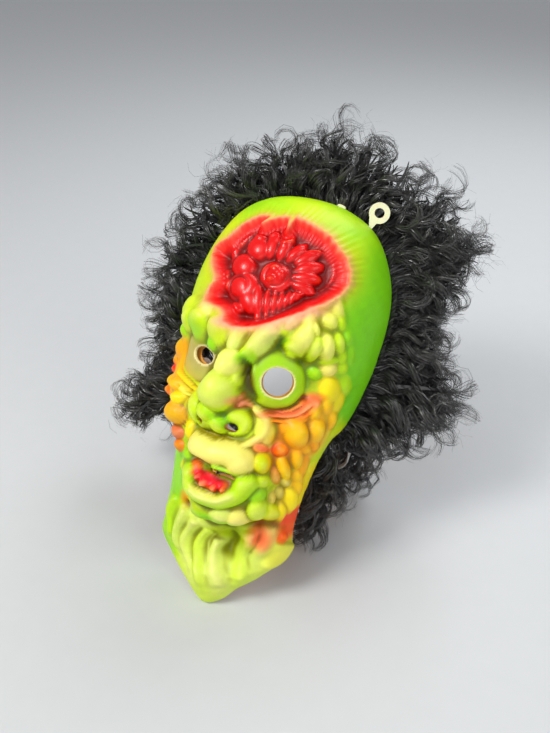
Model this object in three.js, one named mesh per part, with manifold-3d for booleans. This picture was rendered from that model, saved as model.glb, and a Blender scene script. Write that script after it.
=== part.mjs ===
// Zombie mask: a hollow vinyl face with an open back, curly hair set round its rim, a flat hanging
// tab in the plane of the rim and a slack elastic strap. Millimetres, +Z up. The mask stands on its
// neck flap and leans back on its hair.
//
// The mask frame has x to the viewer's right, y to the back and z up, with the eye line at z = 0.
// The rest frame is the mask frame leaned back about x, as the mask stands.
import * as THREE from 'three';
import { mergeVertices } from 'three/addons/utils/BufferGeometryUtils.js';
import Module from 'manifold-3d';

const wasm = await Module();
wasm.setup();

// Driving sizes
const halfWidth = 80; // from the midline to the widest part of the rim
const eyeToLip = 100; // from the eye line down to the lower lip, the unit of every height
const faceDepth = 86; // from the ear line forward to the face
const wall = 2.4; // vinyl wall
const innerShare = 0.7; // how much of each lump shows inside the wall
const lumpRoundness = 0.65; // power of a lump's profile: lower is fuller
const formSoftness = 1.5; // power of a broad form's profile: higher is softer
const leanDegrees = 26; // how far the standing mask leans back
const middleHeight = -0.3; // height of the face's middle, as a share of eyeToLip
const gridAcross = 28; // cells of the shell's grid from side to side
const gridUp = 44; // cells from the flap to the crown
const clearance = 0.35; // gap between pieces that touch
const stripGap = 0.7; // gap between the wall and the strip that the hair is sewn to

// Openings in the face. across is a share of halfWidth, up of eyeToLip.
const eyeRadius = 11.5;
const nostrilRadius = 3.2;
const holeRows = [
  { name: 'eye_right', across: 0.41, up: -0.05, radius: eyeRadius, outward: 0.2 },
  { name: 'eye_left', across: -0.45, up: 0.03, radius: eyeRadius, outward: -0.2 },
  { name: 'nostril_right', across: 0.16, up: -0.45, radius: nostrilRadius, outward: 0 },
  { name: 'nostril_left', across: -0.18, up: -0.46, radius: nostrilRadius, outward: 0 },
];
const mouthSlit = { across: 0.08, up: -0.84, length: 22, height: 3.4, turn: 8 };
const cutterLength = 80; // of the cutters that make the openings

const tab = { at: 72, ring: 8.4, hole: 4, reach: 14, neck: 8, plate: 1.8 };
const stub = { at: 81, wide: 7, stand: 3, plate: 2.4 };
const strap = { at: 6, width: 10, thickness: 1.2, beyond: 4, steps: 34 };
const weft = { first: -48, last: 228, step: 6, width: 5, thickness: 2.2, overhang: 7 }; // the hair's strip
const lockLength = 60; // reach of an average lock of hair from the rim to where it is fullest
const lockGirth = 26; // radius of an average lock at its fullest
const lockRoot = 5.5; // radius of a lock at the strip
const lockTip = 0.85; // how far a lock reaches past its fullest point, as a share of its radius
const lockSides = 7;
const lockSteps = 6;
const lockShares = [0, 0.62, 0.9, 1, 1, 0.86, 0.36]; // a lock's fullness from root to tip
const legShares = [0, 0.8, 1, 1, 0.95, 0.85, 0.7]; // a hanging lock's, from root to foot
const footBelow = 6; // hanging locks run this far past the surface before they are cut level
const hairSpace = 800; // side of the cube over the surface that the hair is kept to
const plateAhead = 30; // room kept free of hair in front of the tab and the stub

// The rim, once round from the crown. across is a share of halfWidth, back of faceDepth, up of eyeToLip.
const rimRows = [
  { name: 'crown', across: 0, back: -0.02, up: 1.31 },
  { name: 'crown_right', across: 0.42, back: 0.02, up: 1.26 },
  { name: 'corner_right', across: 0.75, back: 0.09, up: 1.08 },
  { name: 'temple_right', across: 0.98, back: 0.09, up: 0.68 },
  { name: 'ear_right', across: 1, back: 0, up: 0.2 },
  { name: 'wing_right', across: 0.89, back: -0.16, up: -0.32 },
  { name: 'cheek_right', across: 0.79, back: -0.39, up: -0.52 },
  { name: 'jaw_right', across: 0.7, back: -0.48, up: -0.86 },
  { name: 'neck_right', across: 0.67, back: -0.53, up: -1.16 },
  { name: 'flap_right', across: 0.67, back: -0.56, up: -1.42 },
  { name: 'lobe_right', across: 0.5, back: -0.66, up: -1.64 },
  { name: 'hem_right', across: 0.24, back: -0.76, up: -1.8 },
  { name: 'tip', across: 0.04, back: -0.81, up: -1.94 },
  { name: 'hem_left', across: -0.2, back: -0.76, up: -1.8 },
  { name: 'lobe_left', across: -0.46, back: -0.66, up: -1.7 },
  { name: 'flap_left', across: -0.64, back: -0.6, up: -1.54 },
  { name: 'neck_left', across: -0.65, back: -0.55, up: -1.22 },
  { name: 'jaw_left', across: -0.7, back: -0.48, up: -0.86 },
  { name: 'cheek_left', across: -0.79, back: -0.39, up: -0.52 },
  { name: 'wing_left', across: -0.89, back: -0.16, up: -0.32 },
  { name: 'ear_left', across: -1, back: 0, up: 0.2 },
  { name: 'temple_left', across: -0.98, back: 0.09, up: 0.68 },
  { name: 'corner_left', across: -0.75, back: 0.09, up: 1.08 },
  { name: 'crown_left', across: -0.42, back: 0.02, up: 1.26 },
];

// Broad forms of the face, which add up. across, wide, tall and stand are shares of halfWidth, up of eyeToLip.
const formRows = [
  { name: 'nose_ridge', across: -0.02, up: -0.14, wide: 0.26, tall: 0.5, stand: 0.14 },
  { name: 'muzzle', across: 0.05, up: -0.9, wide: 0.52, tall: 0.58, stand: 0.16 },
  { name: 'socket_right', across: 0.44, up: 0.02, wide: 0.4, tall: 0.38, stand: -0.14 },
  { name: 'socket_left', across: -0.44, up: 0.02, wide: 0.4, tall: 0.38, stand: -0.14 },
  { name: 'brow_right', across: 0.44, up: 0.3, wide: 0.4, tall: 0.2, stand: 0.06 },
  { name: 'brow_left', across: -0.44, up: 0.3, wide: 0.4, tall: 0.2, stand: 0.06 },
  { name: 'cheek_right', across: 0.68, up: -0.36, wide: 0.34, tall: 0.44, stand: 0.06 },
  { name: 'cheek_left', across: -0.68, up: -0.36, wide: 0.34, tall: 0.44, stand: 0.08 },
  { name: 'throat', across: 0.1, up: -1.46, wide: 0.5, tall: 0.26, stand: -0.15 },
  { name: 'flap_hem', across: 0.02, up: -1.8, wide: 0.5, tall: 0.26, stand: 0.05 },
];

// Lumps that stand on the forms, the highest showing, so that creases run between them.
// turn is in degrees, counter-clockwise as the viewer sees it.
const lumpRows = [
  { name: 'nose_bridge', across: -0.04, up: 0.05, wide: 0.16, tall: 0.17, turn: 0, stand: 0.15 },
  { name: 'nose_ball', across: 0.0, up: -0.2, wide: 0.25, tall: 0.25, turn: 0, stand: 0.27 },
  { name: 'nose_tip', across: -0.02, up: -0.42, wide: 0.24, tall: 0.16, turn: 0, stand: 0.24 },
  { name: 'nostril_right', across: 0.22, up: -0.42, wide: 0.16, tall: 0.17, turn: 0, stand: 0.16 },
  { name: 'nostril_left', across: -0.26, up: -0.42, wide: 0.18, tall: 0.2, turn: 0, stand: 0.17 },
  { name: 'eyeball_right', across: 0.44, up: 0.0, wide: 0.29, tall: 0.3, turn: 0, stand: 0.17 },
  { name: 'eyeball_left', across: -0.44, up: 0.0, wide: 0.29, tall: 0.3, turn: 0, stand: 0.17 },
  { name: 'lip_upper_right', across: 0.26, up: -0.7, wide: 0.25, tall: 0.15, turn: -14, stand: 0.13 },
  { name: 'lip_upper_left', across: -0.12, up: -0.63, wide: 0.26, tall: 0.16, turn: -8, stand: 0.13 },
  { name: 'lip_lower', across: 0.08, up: -1.07, wide: 0.4, tall: 0.14, turn: 0, stand: 0.13 },
  { name: 'lip_corner_right', across: 0.36, up: -0.98, wide: 0.17, tall: 0.2, turn: 30, stand: 0.11 },
  { name: 'lip_corner_left', across: -0.27, up: -0.96, wide: 0.14, tall: 0.22, turn: -10, stand: 0.1 },
  { name: 'chin_left', across: -0.05, up: -1.23, wide: 0.2, tall: 0.13, turn: -20, stand: 0.11 },
  { name: 'chin_right', across: 0.3, up: -1.2, wide: 0.19, tall: 0.13, turn: 10, stand: 0.13 },
  { name: 'chin_under', across: 0.16, up: -1.31, wide: 0.22, tall: 0.1, turn: 0, stand: 0.1 },
  { name: 'jowl_right', across: 0.5, up: -1.1, wide: 0.16, tall: 0.15, turn: 0, stand: 0.1 },
  { name: 'smile_right', across: 0.43, up: -0.7, wide: 0.13, tall: 0.19, turn: 25, stand: 0.12 },
  { name: 'smile_left', across: -0.46, up: -0.72, wide: 0.13, tall: 0.2, turn: -25, stand: 0.12 },
  { name: 'jaw_right_upper', across: 0.64, up: -0.72, wide: 0.14, tall: 0.17, turn: 20, stand: 0.1 },
  { name: 'jaw_right_lower', across: 0.68, up: -0.98, wide: 0.14, tall: 0.17, turn: 0, stand: 0.09 },
  { name: 'jaw_left_upper', across: -0.64, up: -0.74, wide: 0.15, tall: 0.18, turn: -20, stand: 0.1 },
  { name: 'jaw_left_lower', across: -0.62, up: -1.02, wide: 0.14, tall: 0.17, turn: 0, stand: 0.08 },
  { name: 'cheek_right_front', across: 0.58, up: -0.42, wide: 0.16, tall: 0.17, turn: 10, stand: 0.1 },
  { name: 'cheek_right_back', across: 0.78, up: -0.34, wide: 0.13, tall: 0.14, turn: 0, stand: 0.1 },
  { name: 'cheek_right_top', across: 0.82, up: -0.1, wide: 0.17, tall: 0.18, turn: 0, stand: 0.09 },
  { name: 'cheek_left_front', across: -0.58, up: -0.4, wide: 0.16, tall: 0.18, turn: -10, stand: 0.1 },
  { name: 'cheek_left_back', across: -0.78, up: -0.48, wide: 0.16, tall: 0.16, turn: 0, stand: 0.13 },
  { name: 'cheek_left_top', across: -0.82, up: -0.12, wide: 0.18, tall: 0.2, turn: 0, stand: 0.12 },
  { name: 'brow_right_inner', across: 0.16, up: 0.17, wide: 0.11, tall: 0.19, turn: -35, stand: 0.15 },
  { name: 'brow_right_main', across: 0.55, up: 0.29, wide: 0.16, tall: 0.2, turn: -12, stand: 0.13 },
  { name: 'brow_right_outer', across: 0.73, up: 0.28, wide: 0.15, tall: 0.19, turn: 10, stand: 0.12 },
  { name: 'brow_right_back', across: 0.86, up: 0.24, wide: 0.12, tall: 0.18, turn: 0, stand: 0.06 },
  { name: 'brow_left_inner', across: -0.3, up: 0.22, wide: 0.19, tall: 0.22, turn: 30, stand: 0.13 },
  { name: 'brow_left_outer', across: -0.6, up: 0.29, wide: 0.16, tall: 0.22, turn: 10, stand: 0.13 },
  { name: 'brow_left_back', across: -0.82, up: 0.24, wide: 0.15, tall: 0.2, turn: 0, stand: 0.09 },
  { name: 'flap_fold_left', across: -0.26, up: -1.5, wide: 0.1, tall: 0.36, turn: -8, stand: 0.06 },
  { name: 'flap_fold_middle', across: 0.04, up: -1.6, wide: 0.1, tall: 0.4, turn: 4, stand: 0.07 },
  { name: 'flap_fold_right', across: 0.46, up: -1.4, wide: 0.12, tall: 0.3, turn: 18, stand: 0.07 },
];

// The open wound on the forehead. reach is its mean radius. lip, dish and brain, the heights of its
// edge, hollow and lobes, and lipWidth and slope are shares of reach.
const wound = { across: 0.05, up: 0.7, reach: 48, lip: 0.055, dish: 0.125, brain: 0.1, lipWidth: 0.2, slope: 0.22 };
// Its outline's reach at each bearing, in degrees counter-clockwise from the viewer's right
const woundRows = [
  { bearing: 0, reach: 1.0 },
  { bearing: 25, reach: 0.98 },
  { bearing: 50, reach: 0.96 },
  { bearing: 75, reach: 1.0 },
  { bearing: 105, reach: 1.1 },
  { bearing: 130, reach: 1.04 },
  { bearing: 155, reach: 0.94 },
  { bearing: 180, reach: 0.96 },
  { bearing: 210, reach: 1.08 },
  { bearing: 235, reach: 0.92 },
  { bearing: 260, reach: 0.98 },
  { bearing: 290, reach: 0.84 },
  { bearing: 320, reach: 0.8 },
  { bearing: 342, reach: 0.94 },
];
// Lobes of the brain, with right, up, wide and tall as shares of the wound's reach and stand of its brain height.
const lobeRows = [
  { name: 'knob', right: 0.06, up: 0.02, wide: 0.29, tall: 0.29, turn: 0, stand: 1.25 },
  { name: 'lobe_left', right: -0.5, up: 0.12, wide: 0.24, tall: 0.24, turn: 0, stand: 1 },
  { name: 'lobe_low_left', right: -0.36, up: -0.36, wide: 0.24, tall: 0.36, turn: 30, stand: 1.1 },
  { name: 'lobe_top_left', right: -0.32, up: 0.52, wide: 0.2, tall: 0.28, turn: 20, stand: 0.9 },
  { name: 'lobe_top', right: 0.02, up: 0.54, wide: 0.16, tall: 0.28, turn: 0, stand: 0.9 },
  { name: 'lobe_right_upper', right: 0.42, up: 0.4, wide: 0.32, tall: 0.15, turn: 30, stand: 0.9 },
  { name: 'lobe_right', right: 0.54, up: 0.08, wide: 0.3, tall: 0.16, turn: 10, stand: 1 },
  { name: 'lobe_low_right', right: 0.36, up: -0.34, wide: 0.32, tall: 0.16, turn: 20, stand: 0.8 },
  { name: 'lobe_low', right: 0.0, up: -0.46, wide: 0.14, tall: 0.34, turn: 15, stand: 0.9 },
];

// Locks of hair, from the strip to where each is fullest. at is the root's bearing in degrees round the
// face's middle. right, back and rise are shares of lockLength in the rest frame, girth of lockGirth.
const lockRows = [
  { name: 'top', at: 84, right: -0.08, back: 0.55, rise: 0.6, girth: 1.15 },
  { name: 'top_left', at: 98, right: -0.3, back: 0.42, rise: 0.3, girth: 1.05 },
  { name: 'corner_left', at: 112, right: -0.6, back: 0.16, rise: 0.2, girth: 1.28 },
  { name: 'temple_left', at: 130, right: -0.8, back: 0.06, rise: -0.16, girth: 1.05 },
  { name: 'ear_left_upper', at: 145, right: -0.76, back: 0.05, rise: -0.3, girth: 1.0 },
  { name: 'ear_left', at: 157, right: -0.62, back: 0, rise: -0.4, girth: 0.9 },
  { name: 'wing_left', at: 172, right: -0.95, back: -0.28, rise: -0.85, girth: 1.0 },
  { name: 'corner_right', at: 66, right: 0.25, back: 0.66, rise: 0.16, girth: 1.3 },
  { name: 'temple_right_upper', at: 54, right: 0.62, back: 0.8, rise: 0.12, girth: 1.12 },
  { name: 'temple_right', at: 44, right: 0.42, back: 0.7, rise: 0.06, girth: 1.12 },
  { name: 'ear_right_upper', at: 34, right: 0.36, back: 0.6, rise: 0, girth: 1.1 },
  { name: 'ear_right', at: 24, right: 0.65, back: 0.7, rise: -0.2, girth: 1.15 },
  { name: 'wing_right_upper', at: 12, right: 1.0, back: 0.7, rise: -0.48, girth: 1.08 },
  { name: 'wing_right', at: 2, right: 0.5, back: 0.5, rise: -0.42, girth: 1.12 },
  { name: 'cheek_right_upper', at: -10, right: 0.34, back: 0.16, rise: -0.5, girth: 0.95 },
  { name: 'cheek_right', at: -22, right: 0.2, back: 0, rise: -0.7, girth: 0.9 },
];
// Long locks that hang to the surface and carry the mask's back. right and back are shares of lockLength
// from the root to the foot, girth of lockGirth.
const legRows = [
  { name: 'jaw_right', at: -36, right: -0.04, back: 0.12, girth: 0.78 },
  { name: 'jaw_left', at: 200, right: 0.04, back: 0.2, girth: 0.6 },
  { name: 'back_right', at: 6, right: -0.15, back: 0.55, girth: 0.75 },
  { name: 'back_left', at: 165, right: 0, back: 0.75, girth: 0.8 },
];
// The slack strap from where it leaves the rim to its lowest point: shares of halfWidth in the rest frame
const strapRows = [
  { name: 'falling', right: 0.88, back: -0.16, rise: -0.8 },
  { name: 'turning', right: 0.76, back: 0.0, rise: -1.18 },
  { name: 'sagging', right: 0.42, back: 0.07, rise: -1.44 },
  { name: 'lowest', right: 0, back: 0.09, rise: -1.53 },
];

const radians = THREE.MathUtils.degToRad;

// Solids

function toManifold(geometry) {
  const bare = geometry.clone();
  bare.deleteAttribute('normal');
  bare.deleteAttribute('uv');
  const merged = mergeVertices(bare, 1e-4);
  return new wasm.Manifold(new wasm.Mesh({
    numProp: 3,
    vertProperties: new Float32Array(merged.attributes.position.array),
    triVerts: new Uint32Array(merged.index.array),
  }));
}

function toGeometry(solid) {
  const made = solid.getMesh();
  const geometry = new THREE.BufferGeometry();
  geometry.setAttribute('position', new THREE.BufferAttribute(new Float32Array(made.vertProperties), 3));
  geometry.setIndex(new THREE.BufferAttribute(new Uint32Array(made.triVerts), 1));
  return geometry;
}

function geometryOf(points, triangles) {
  const geometry = new THREE.BufferGeometry().setFromPoints(points);
  geometry.setIndex(triangles);
  return geometry;
}

function volumeOf(points, triangles) {
  let sum = 0;
  const cross = new THREE.Vector3();
  for (let k = 0; k < triangles.length; k += 3) {
    cross.crossVectors(points[triangles[k + 1]], points[triangles[k + 2]]);
    sum += points[triangles[k]].dot(cross);
  }
  return sum / 6;
}

// A closed solid through rings of points, turned to face outward
function loft(rings) {
  const count = rings[0].length;
  const points = rings.flat();
  const triangles = [];
  for (let i = 0; i + 1 < rings.length; i += 1) {
    for (let j = 0; j < count; j += 1) {
      const a = i * count + j;
      const b = i * count + (j + 1) % count;
      triangles.push(a, b, b + count, a, b + count, a + count);
    }
  }
  const last = (rings.length - 1) * count;
  for (let j = 1; j + 1 < count; j += 1) {
    triangles.push(0, j + 1, j);
    triangles.push(last, last + j, last + j + 1);
  }
  if (volumeOf(points, triangles) < 0) triangles.reverse();
  return geometryOf(points, triangles);
}

// The mask's base surface: an oval dome between the rim and the face's front

const middle = new THREE.Vector3(0, -faceDepth, middleHeight * eyeToLip);
const rimCurve = new THREE.CatmullRomCurve3(
  rimRows.map((row) => new THREE.Vector3(row.across * halfWidth, row.back * faceDepth, row.up * eyeToLip)),
  true, 'catmullrom', 0.5,
);
const rimSamples = 720;
const rimPoints = Array.from({ length: rimSamples }, (_, i) => rimCurve.getPoint(i / rimSamples))
  .map((point) => ({ point, angle: Math.atan2(point.z - middle.z, point.x - middle.x) }))
  .sort((a, b) => a.angle - b.angle);
const halfTall = (rimRows[0].up - rimRows[12].up) * eyeToLip / 2;

// The rim's point in the direction angle, seen from the front
function rimAt(angle) {
  const wrapped = Math.atan2(Math.sin(angle), Math.cos(angle));
  let low = 0;
  let high = rimSamples;
  while (low < high) {
    const half = (low + high) >> 1;
    if (rimPoints[half].angle < wrapped) low = half + 1;
    else high = half;
  }
  const after = rimPoints[low % rimSamples];
  const before = rimPoints[(low + rimSamples - 1) % rimSamples];
  const turn = 2 * Math.PI;
  const span = (after.angle - before.angle + turn) % turn;
  const share = span > 0 ? ((wrapped - before.angle + turn) % turn) / span : 0;
  return before.point.clone().lerp(after.point, share);
}

function basePoint(angle, share) {
  const edge = rimAt(angle);
  const around = Math.sin(share * Math.PI / 2);
  const ahead = Math.cos(share * Math.PI / 2);
  return new THREE.Vector3(
    middle.x + (edge.x - middle.x) * around,
    edge.y + (middle.y - edge.y) * ahead,
    middle.z + (edge.z - middle.z) * around,
  );
}

// The base surface's point straight behind a place on the front view
function seat(across, up) {
  const x = across * halfWidth;
  const z = up * eyeToLip;
  const angle = Math.atan2(z - middle.z, x - middle.x);
  const edge = rimAt(angle);
  const around = Math.hypot(x - middle.x, z - middle.z) / Math.hypot(edge.x - middle.x, edge.z - middle.z);
  return basePoint(angle, Math.asin(Math.min(1, around)) * 2 / Math.PI);
}

// A seat with the surface's own right, up and outward directions
function frameAt(across, up) {
  const step = 0.02;
  const origin = seat(across, up);
  const right = seat(across + step, up).sub(seat(across - step, up)).normalize();
  const climb = seat(across, up + step).sub(seat(across, up - step)).normalize();
  const out = new THREE.Vector3().crossVectors(right, climb).normalize();
  climb.crossVectors(out, right).normalize();
  return { origin, right, climb, out };
}

// Relief on the base surface

function turned(right, climb, degrees) {
  const c = Math.cos(radians(degrees));
  const s = Math.sin(radians(degrees));
  return [right * c + climb * s, climb * c - right * s];
}

// How far inside a row's oval a point lies: 1 at its middle, 0 at its edge and beyond
function inside(frame, point, wide, tallness, degrees) {
  const away = point.clone().sub(frame.origin);
  const [u, v] = turned(away.dot(frame.right), away.dot(frame.climb), degrees);
  const depth = away.dot(frame.out) / Math.max(wide, tallness);
  return Math.max(0, 1 - (u / wide) ** 2 - (v / tallness) ** 2 - depth ** 2);
}

const forms = formRows.map((row) => ({ ...row, frame: frameAt(row.across, row.up) }));
const lumps = lumpRows.map((row) => ({ ...row, frame: frameAt(row.across, row.up) }));
const woundFrame = frameAt(wound.across, wound.up);

function formHeight(point) {
  return forms.reduce((sum, row) => {
    const near = inside(row.frame, point, row.wide * halfWidth, row.tall * halfWidth, 0);
    return sum + row.stand * halfWidth * near ** formSoftness;
  }, 0);
}

function lumpHeight(point) {
  return lumps.reduce((highest, row) => {
    const near = inside(row.frame, point, row.wide * halfWidth, row.tall * halfWidth, row.turn);
    return Math.max(highest, row.stand * halfWidth * near ** lumpRoundness);
  }, 0);
}

function woundReachAt(bearing) {
  const degrees = (THREE.MathUtils.radToDeg(bearing) + 360) % 360;
  const next = woundRows.findIndex((row) => row.bearing > degrees);
  const after = next < 0 ? { bearing: 360, reach: woundRows[0].reach } : woundRows[next];
  const before = woundRows[(next < 0 ? woundRows.length : next) - 1];
  const share = (degrees - before.bearing) / (after.bearing - before.bearing);
  return THREE.MathUtils.lerp(before.reach, after.reach, share) * wound.reach;
}

// The wound has a raised lip, a dish inside it and the brain's lobes in the dish
function woundHeight(point) {
  const away = point.clone().sub(woundFrame.origin);
  const u = away.dot(woundFrame.right);
  const v = away.dot(woundFrame.climb);
  const reach = woundReachAt(Math.atan2(v, u));
  const share = Math.hypot(u, v) / reach;
  if (share > 1 + wound.lipWidth || away.dot(woundFrame.out) < -wound.reach) return 0;
  const lip = wound.lip * Math.max(0, 1 - Math.abs(share - 1) / wound.lipWidth);
  const dish = -wound.dish * THREE.MathUtils.smoothstep(1 - share, 0, wound.slope);
  const lobes = lobeRows.reduce((highest, row) => {
    const [a, b] = turned(u - row.right * wound.reach, v - row.up * wound.reach, row.turn);
    const near = Math.max(0, 1 - (a / (row.wide * wound.reach)) ** 2 - (b / (row.tall * wound.reach)) ** 2);
    return Math.max(highest, row.stand * wound.brain * near ** lumpRoundness);
  }, 0);
  return (lip + dish + lobes) * wound.reach;
}

// The shell: the same grid twice, as the painted outside and the inside, joined round the rim

// Maps a square grid onto the dome, so that no cell shrinks to a point
function gridPoint(i, j) {
  const a = 2 * i / gridAcross - 1;
  const b = 2 * j / gridUp - 1;
  const p = a * Math.sqrt(1 - b * b / 2);
  const q = b * Math.sqrt(1 - a * a / 2);
  const angle = Math.atan2(q * halfTall, p * halfWidth);
  return basePoint(angle, Math.min(1, Math.hypot(p, q)));
}

function gridIndex(i, j) {
  return j * (gridAcross + 1) + i;
}

function rimIndices() {
  const bottom = Array.from({ length: gridAcross }, (_, i) => gridIndex(i, 0));
  const right = Array.from({ length: gridUp }, (_, j) => gridIndex(gridAcross, j));
  const top = Array.from({ length: gridAcross }, (_, i) => gridIndex(gridAcross - i, gridUp));
  const left = Array.from({ length: gridUp }, (_, j) => gridIndex(0, gridUp - j));
  return [...bottom, ...right, ...top, ...left];
}

function baseGrid() {
  const points = [];
  for (let j = 0; j <= gridUp; j += 1) {
    for (let i = 0; i <= gridAcross; i += 1) points.push(gridPoint(i, j));
  }
  const triangles = [];
  for (let j = 0; j < gridUp; j += 1) {
    for (let i = 0; i < gridAcross; i += 1) {
      const a = gridIndex(i, j);
      const b = gridIndex(i, j + 1);
      const rising = (i < gridAcross / 2) === (j < gridUp / 2);
      if (rising) triangles.push(a, a + 1, b + 1, a, b + 1, b);
      else triangles.push(a, a + 1, b, a + 1, b + 1, b);
    }
  }
  const surface = geometryOf(points, triangles);
  surface.computeVertexNormals();
  const normals = points.map((_, k) => new THREE.Vector3().fromBufferAttribute(surface.attributes.normal, k));
  return { points, normals, triangles };
}

const grid = baseGrid();
const rimLoop = rimIndices();

function shellSheets() {
  const outer = [];
  const inner = [];
  grid.points.forEach((point, k) => {
    const broad = formHeight(point) + woundHeight(point);
    const lump = lumpHeight(point);
    outer.push(point.clone().addScaledVector(grid.normals[k], broad + lump));
    inner.push(point.clone().addScaledVector(grid.normals[k], broad + lump * innerShare - wall));
  });
  return { outer, inner };
}

const sheets = shellSheets();

// A sheet's point moved out by spare, and at the rim to the back as well
function spared(point, k, spare, atRim) {
  const moved = point.clone().addScaledVector(grid.normals[k], spare);
  if (atRim) moved.y += Math.abs(spare);
  return moved;
}

// The shell's solid, or with spare above 0 the room that it needs among the hair
function shellBody(spare) {
  const count = sheets.outer.length;
  const onRim = new Set(spare > 0 ? rimLoop : []);
  const outer = sheets.outer.map((point, k) => spared(point, k, spare, onRim.has(k)));
  const inner = sheets.inner.map((point, k) => spared(point, k, -spare, onRim.has(k)));
  const triangles = [...grid.triangles];
  for (let k = 0; k < grid.triangles.length; k += 3) {
    const [a, b, c] = grid.triangles.slice(k, k + 3);
    triangles.push(a + count, c + count, b + count);
  }
  rimLoop.forEach((a, k) => {
    const b = rimLoop[(k + 1) % rimLoop.length];
    triangles.push(a, a + count, b + count, a, b + count, b);
  });
  return toManifold(geometryOf([...outer, ...inner], triangles));
}

// A round cutter through the wall, straight ahead or turned a little outward
function hole(row) {
  const cutter = new THREE.CylinderGeometry(row.radius, row.radius, cutterLength, 20);
  const direction = new THREE.Vector3(row.outward, -1, 0).normalize();
  const turnTo = new THREE.Quaternion().setFromUnitVectors(new THREE.Vector3(0, 1, 0), direction);
  const place = seat(row.across, row.up).addScaledVector(direction, cutterLength / 4);
  cutter.applyQuaternion(turnTo).translate(place.x, place.y, place.z);
  return toManifold(cutter);
}

function mouthCutter() {
  const cutter = new THREE.BoxGeometry(mouthSlit.length, cutterLength, mouthSlit.height);
  const place = seat(mouthSlit.across, mouthSlit.up);
  cutter.rotateY(radians(mouthSlit.turn)).translate(place.x, place.y, place.z);
  return toManifold(cutter);
}

function maskShell() {
  let body = shellBody(0);
  holeRows.forEach((row) => {
    body = body.subtract(hole(row));
  });
  return toGeometry(body.subtract(mouthCutter()));
}

// The rest frame

const lean = new THREE.Matrix4().makeRotationX(-radians(leanDegrees));
const leanBack = (point) => point.clone().applyMatrix4(lean);
const floor = Math.min(...sheets.outer.map((point) => leanBack(point).z));

// At a bearing on the rim: its edge, the way over the edge to the back, along the rim, and outward
function rimFrame(degrees) {
  const angle = radians(degrees);
  const edge = basePoint(angle, 1);
  const step = 0.03;
  const along = basePoint(angle + step, 1).sub(basePoint(angle - step, 1)).normalize();
  const over = new THREE.Vector3(0, 1, 0).addScaledVector(along, -along.y).normalize();
  const out = new THREE.Vector3().crossVectors(over, along).normalize();
  if (out.dot(edge.clone().sub(middle)) < 0) out.negate();
  return { edge, over, along, out };
}

// A point beside the rim, as distances outward, over the edge and along
function besideRim(frame, out, over, along) {
  return frame.edge.clone()
    .addScaledVector(frame.out, out)
    .addScaledVector(frame.over, over)
    .addScaledVector(frame.along, along);
}

// The strip lies inside the rim, from one jaw over the crown to the other
function weftStrip() {
  const bearings = [];
  for (let degrees = weft.first; degrees <= weft.last; degrees += weft.step) bearings.push(degrees);
  const rings = bearings.map((degrees) => {
    const frame = rimFrame(degrees);
    const near = -wall - stripGap;
    const far = near - weft.thickness;
    return [
      besideRim(frame, near, weft.overhang, 0),
      besideRim(frame, far, weft.overhang, 0),
      besideRim(frame, far, -weft.width, 0),
      besideRim(frame, near, -weft.width, 0),
    ].map(leanBack);
  });
  return toManifold(loft(rings));
}

// A tapered body round a path, its outline slightly lobed like bunched curls
function lockBody(path, radii, phase) {
  const curve = new THREE.CatmullRomCurve3(path);
  const frames = curve.computeFrenetFrames(lockSteps, false);
  const rings = radii.map((radius, i) => {
    const centre = curve.getPointAt(i / lockSteps);
    return Array.from({ length: lockSides }, (_, j) => {
      const turn = 2 * Math.PI * j / lockSides;
      const lobed = radius * (1 + 0.1 * Math.sin(3 * turn + 1.9 * i + phase));
      return centre.clone()
        .addScaledVector(frames.normals[i], lobed * Math.cos(turn))
        .addScaledVector(frames.binormals[i], lobed * Math.sin(turn));
    });
  });
  return toManifold(loft(rings));
}

function lockRootAt(degrees) {
  const frame = rimFrame(degrees);
  return leanBack(besideRim(frame, -wall - stripGap - weft.thickness / 2, weft.overhang, 0));
}

function lock(row, index) {
  const root = lockRootAt(row.at);
  const reach = new THREE.Vector3(row.right, row.back, row.rise).multiplyScalar(lockLength);
  const girth = row.girth * lockGirth;
  const away = reach.clone().normalize();
  const path = [
    root,
    root.clone().addScaledVector(reach, 0.5),
    root.clone().add(reach),
    root.clone().add(reach).addScaledVector(away, girth * lockTip),
  ];
  const radii = lockShares.map((share) => lockRoot + (girth - lockRoot) * share);
  return lockBody(path, radii, index);
}

function leg(row, index) {
  const root = lockRootAt(row.at);
  const girth = row.girth * lockGirth;
  const foot = new THREE.Vector3(root.x + row.right * lockLength, root.y + row.back * lockLength, floor - footBelow);
  const path = [
    root,
    root.clone().lerp(foot, 0.35).setY(root.y + row.back * lockLength * 0.6),
    root.clone().lerp(foot, 0.7).setY(root.y + row.back * lockLength * 0.9),
    foot,
  ];
  const radii = legShares.map((share) => lockRoot + (girth - lockRoot) * share);
  return lockBody(path, radii, index);
}

// Everything above the surface that the mask stands on
function aboveFloor() {
  const space = new THREE.BoxGeometry(hairSpace, hairSpace, hairSpace);
  space.translate(0, 0, floor + hairSpace / 2);
  return toManifold(space);
}

function hair() {
  let body = weftStrip();
  lockRows.forEach((row, index) => {
    body = body.add(lock(row, index));
  });
  legRows.forEach((row, index) => {
    body = body.add(leg(row, index));
  });
  const room = shellBody(clearance);
  const leanedRoom = toManifold(toGeometry(room).applyMatrix4(lean));
  body = body.subtract(leanedRoom).subtract(strapBody(clearance));
  body = body.subtract(plateRoom(tabOutline, tab.at, tab.plate));
  body = body.subtract(plateRoom(stubOutline, stub.at, stub.plate));
  return toGeometry(body.intersect(aboveFloor()));
}

// The hanging tab: a flat ring on a neck, in the plane of the rim, against the rim's back edge

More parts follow.
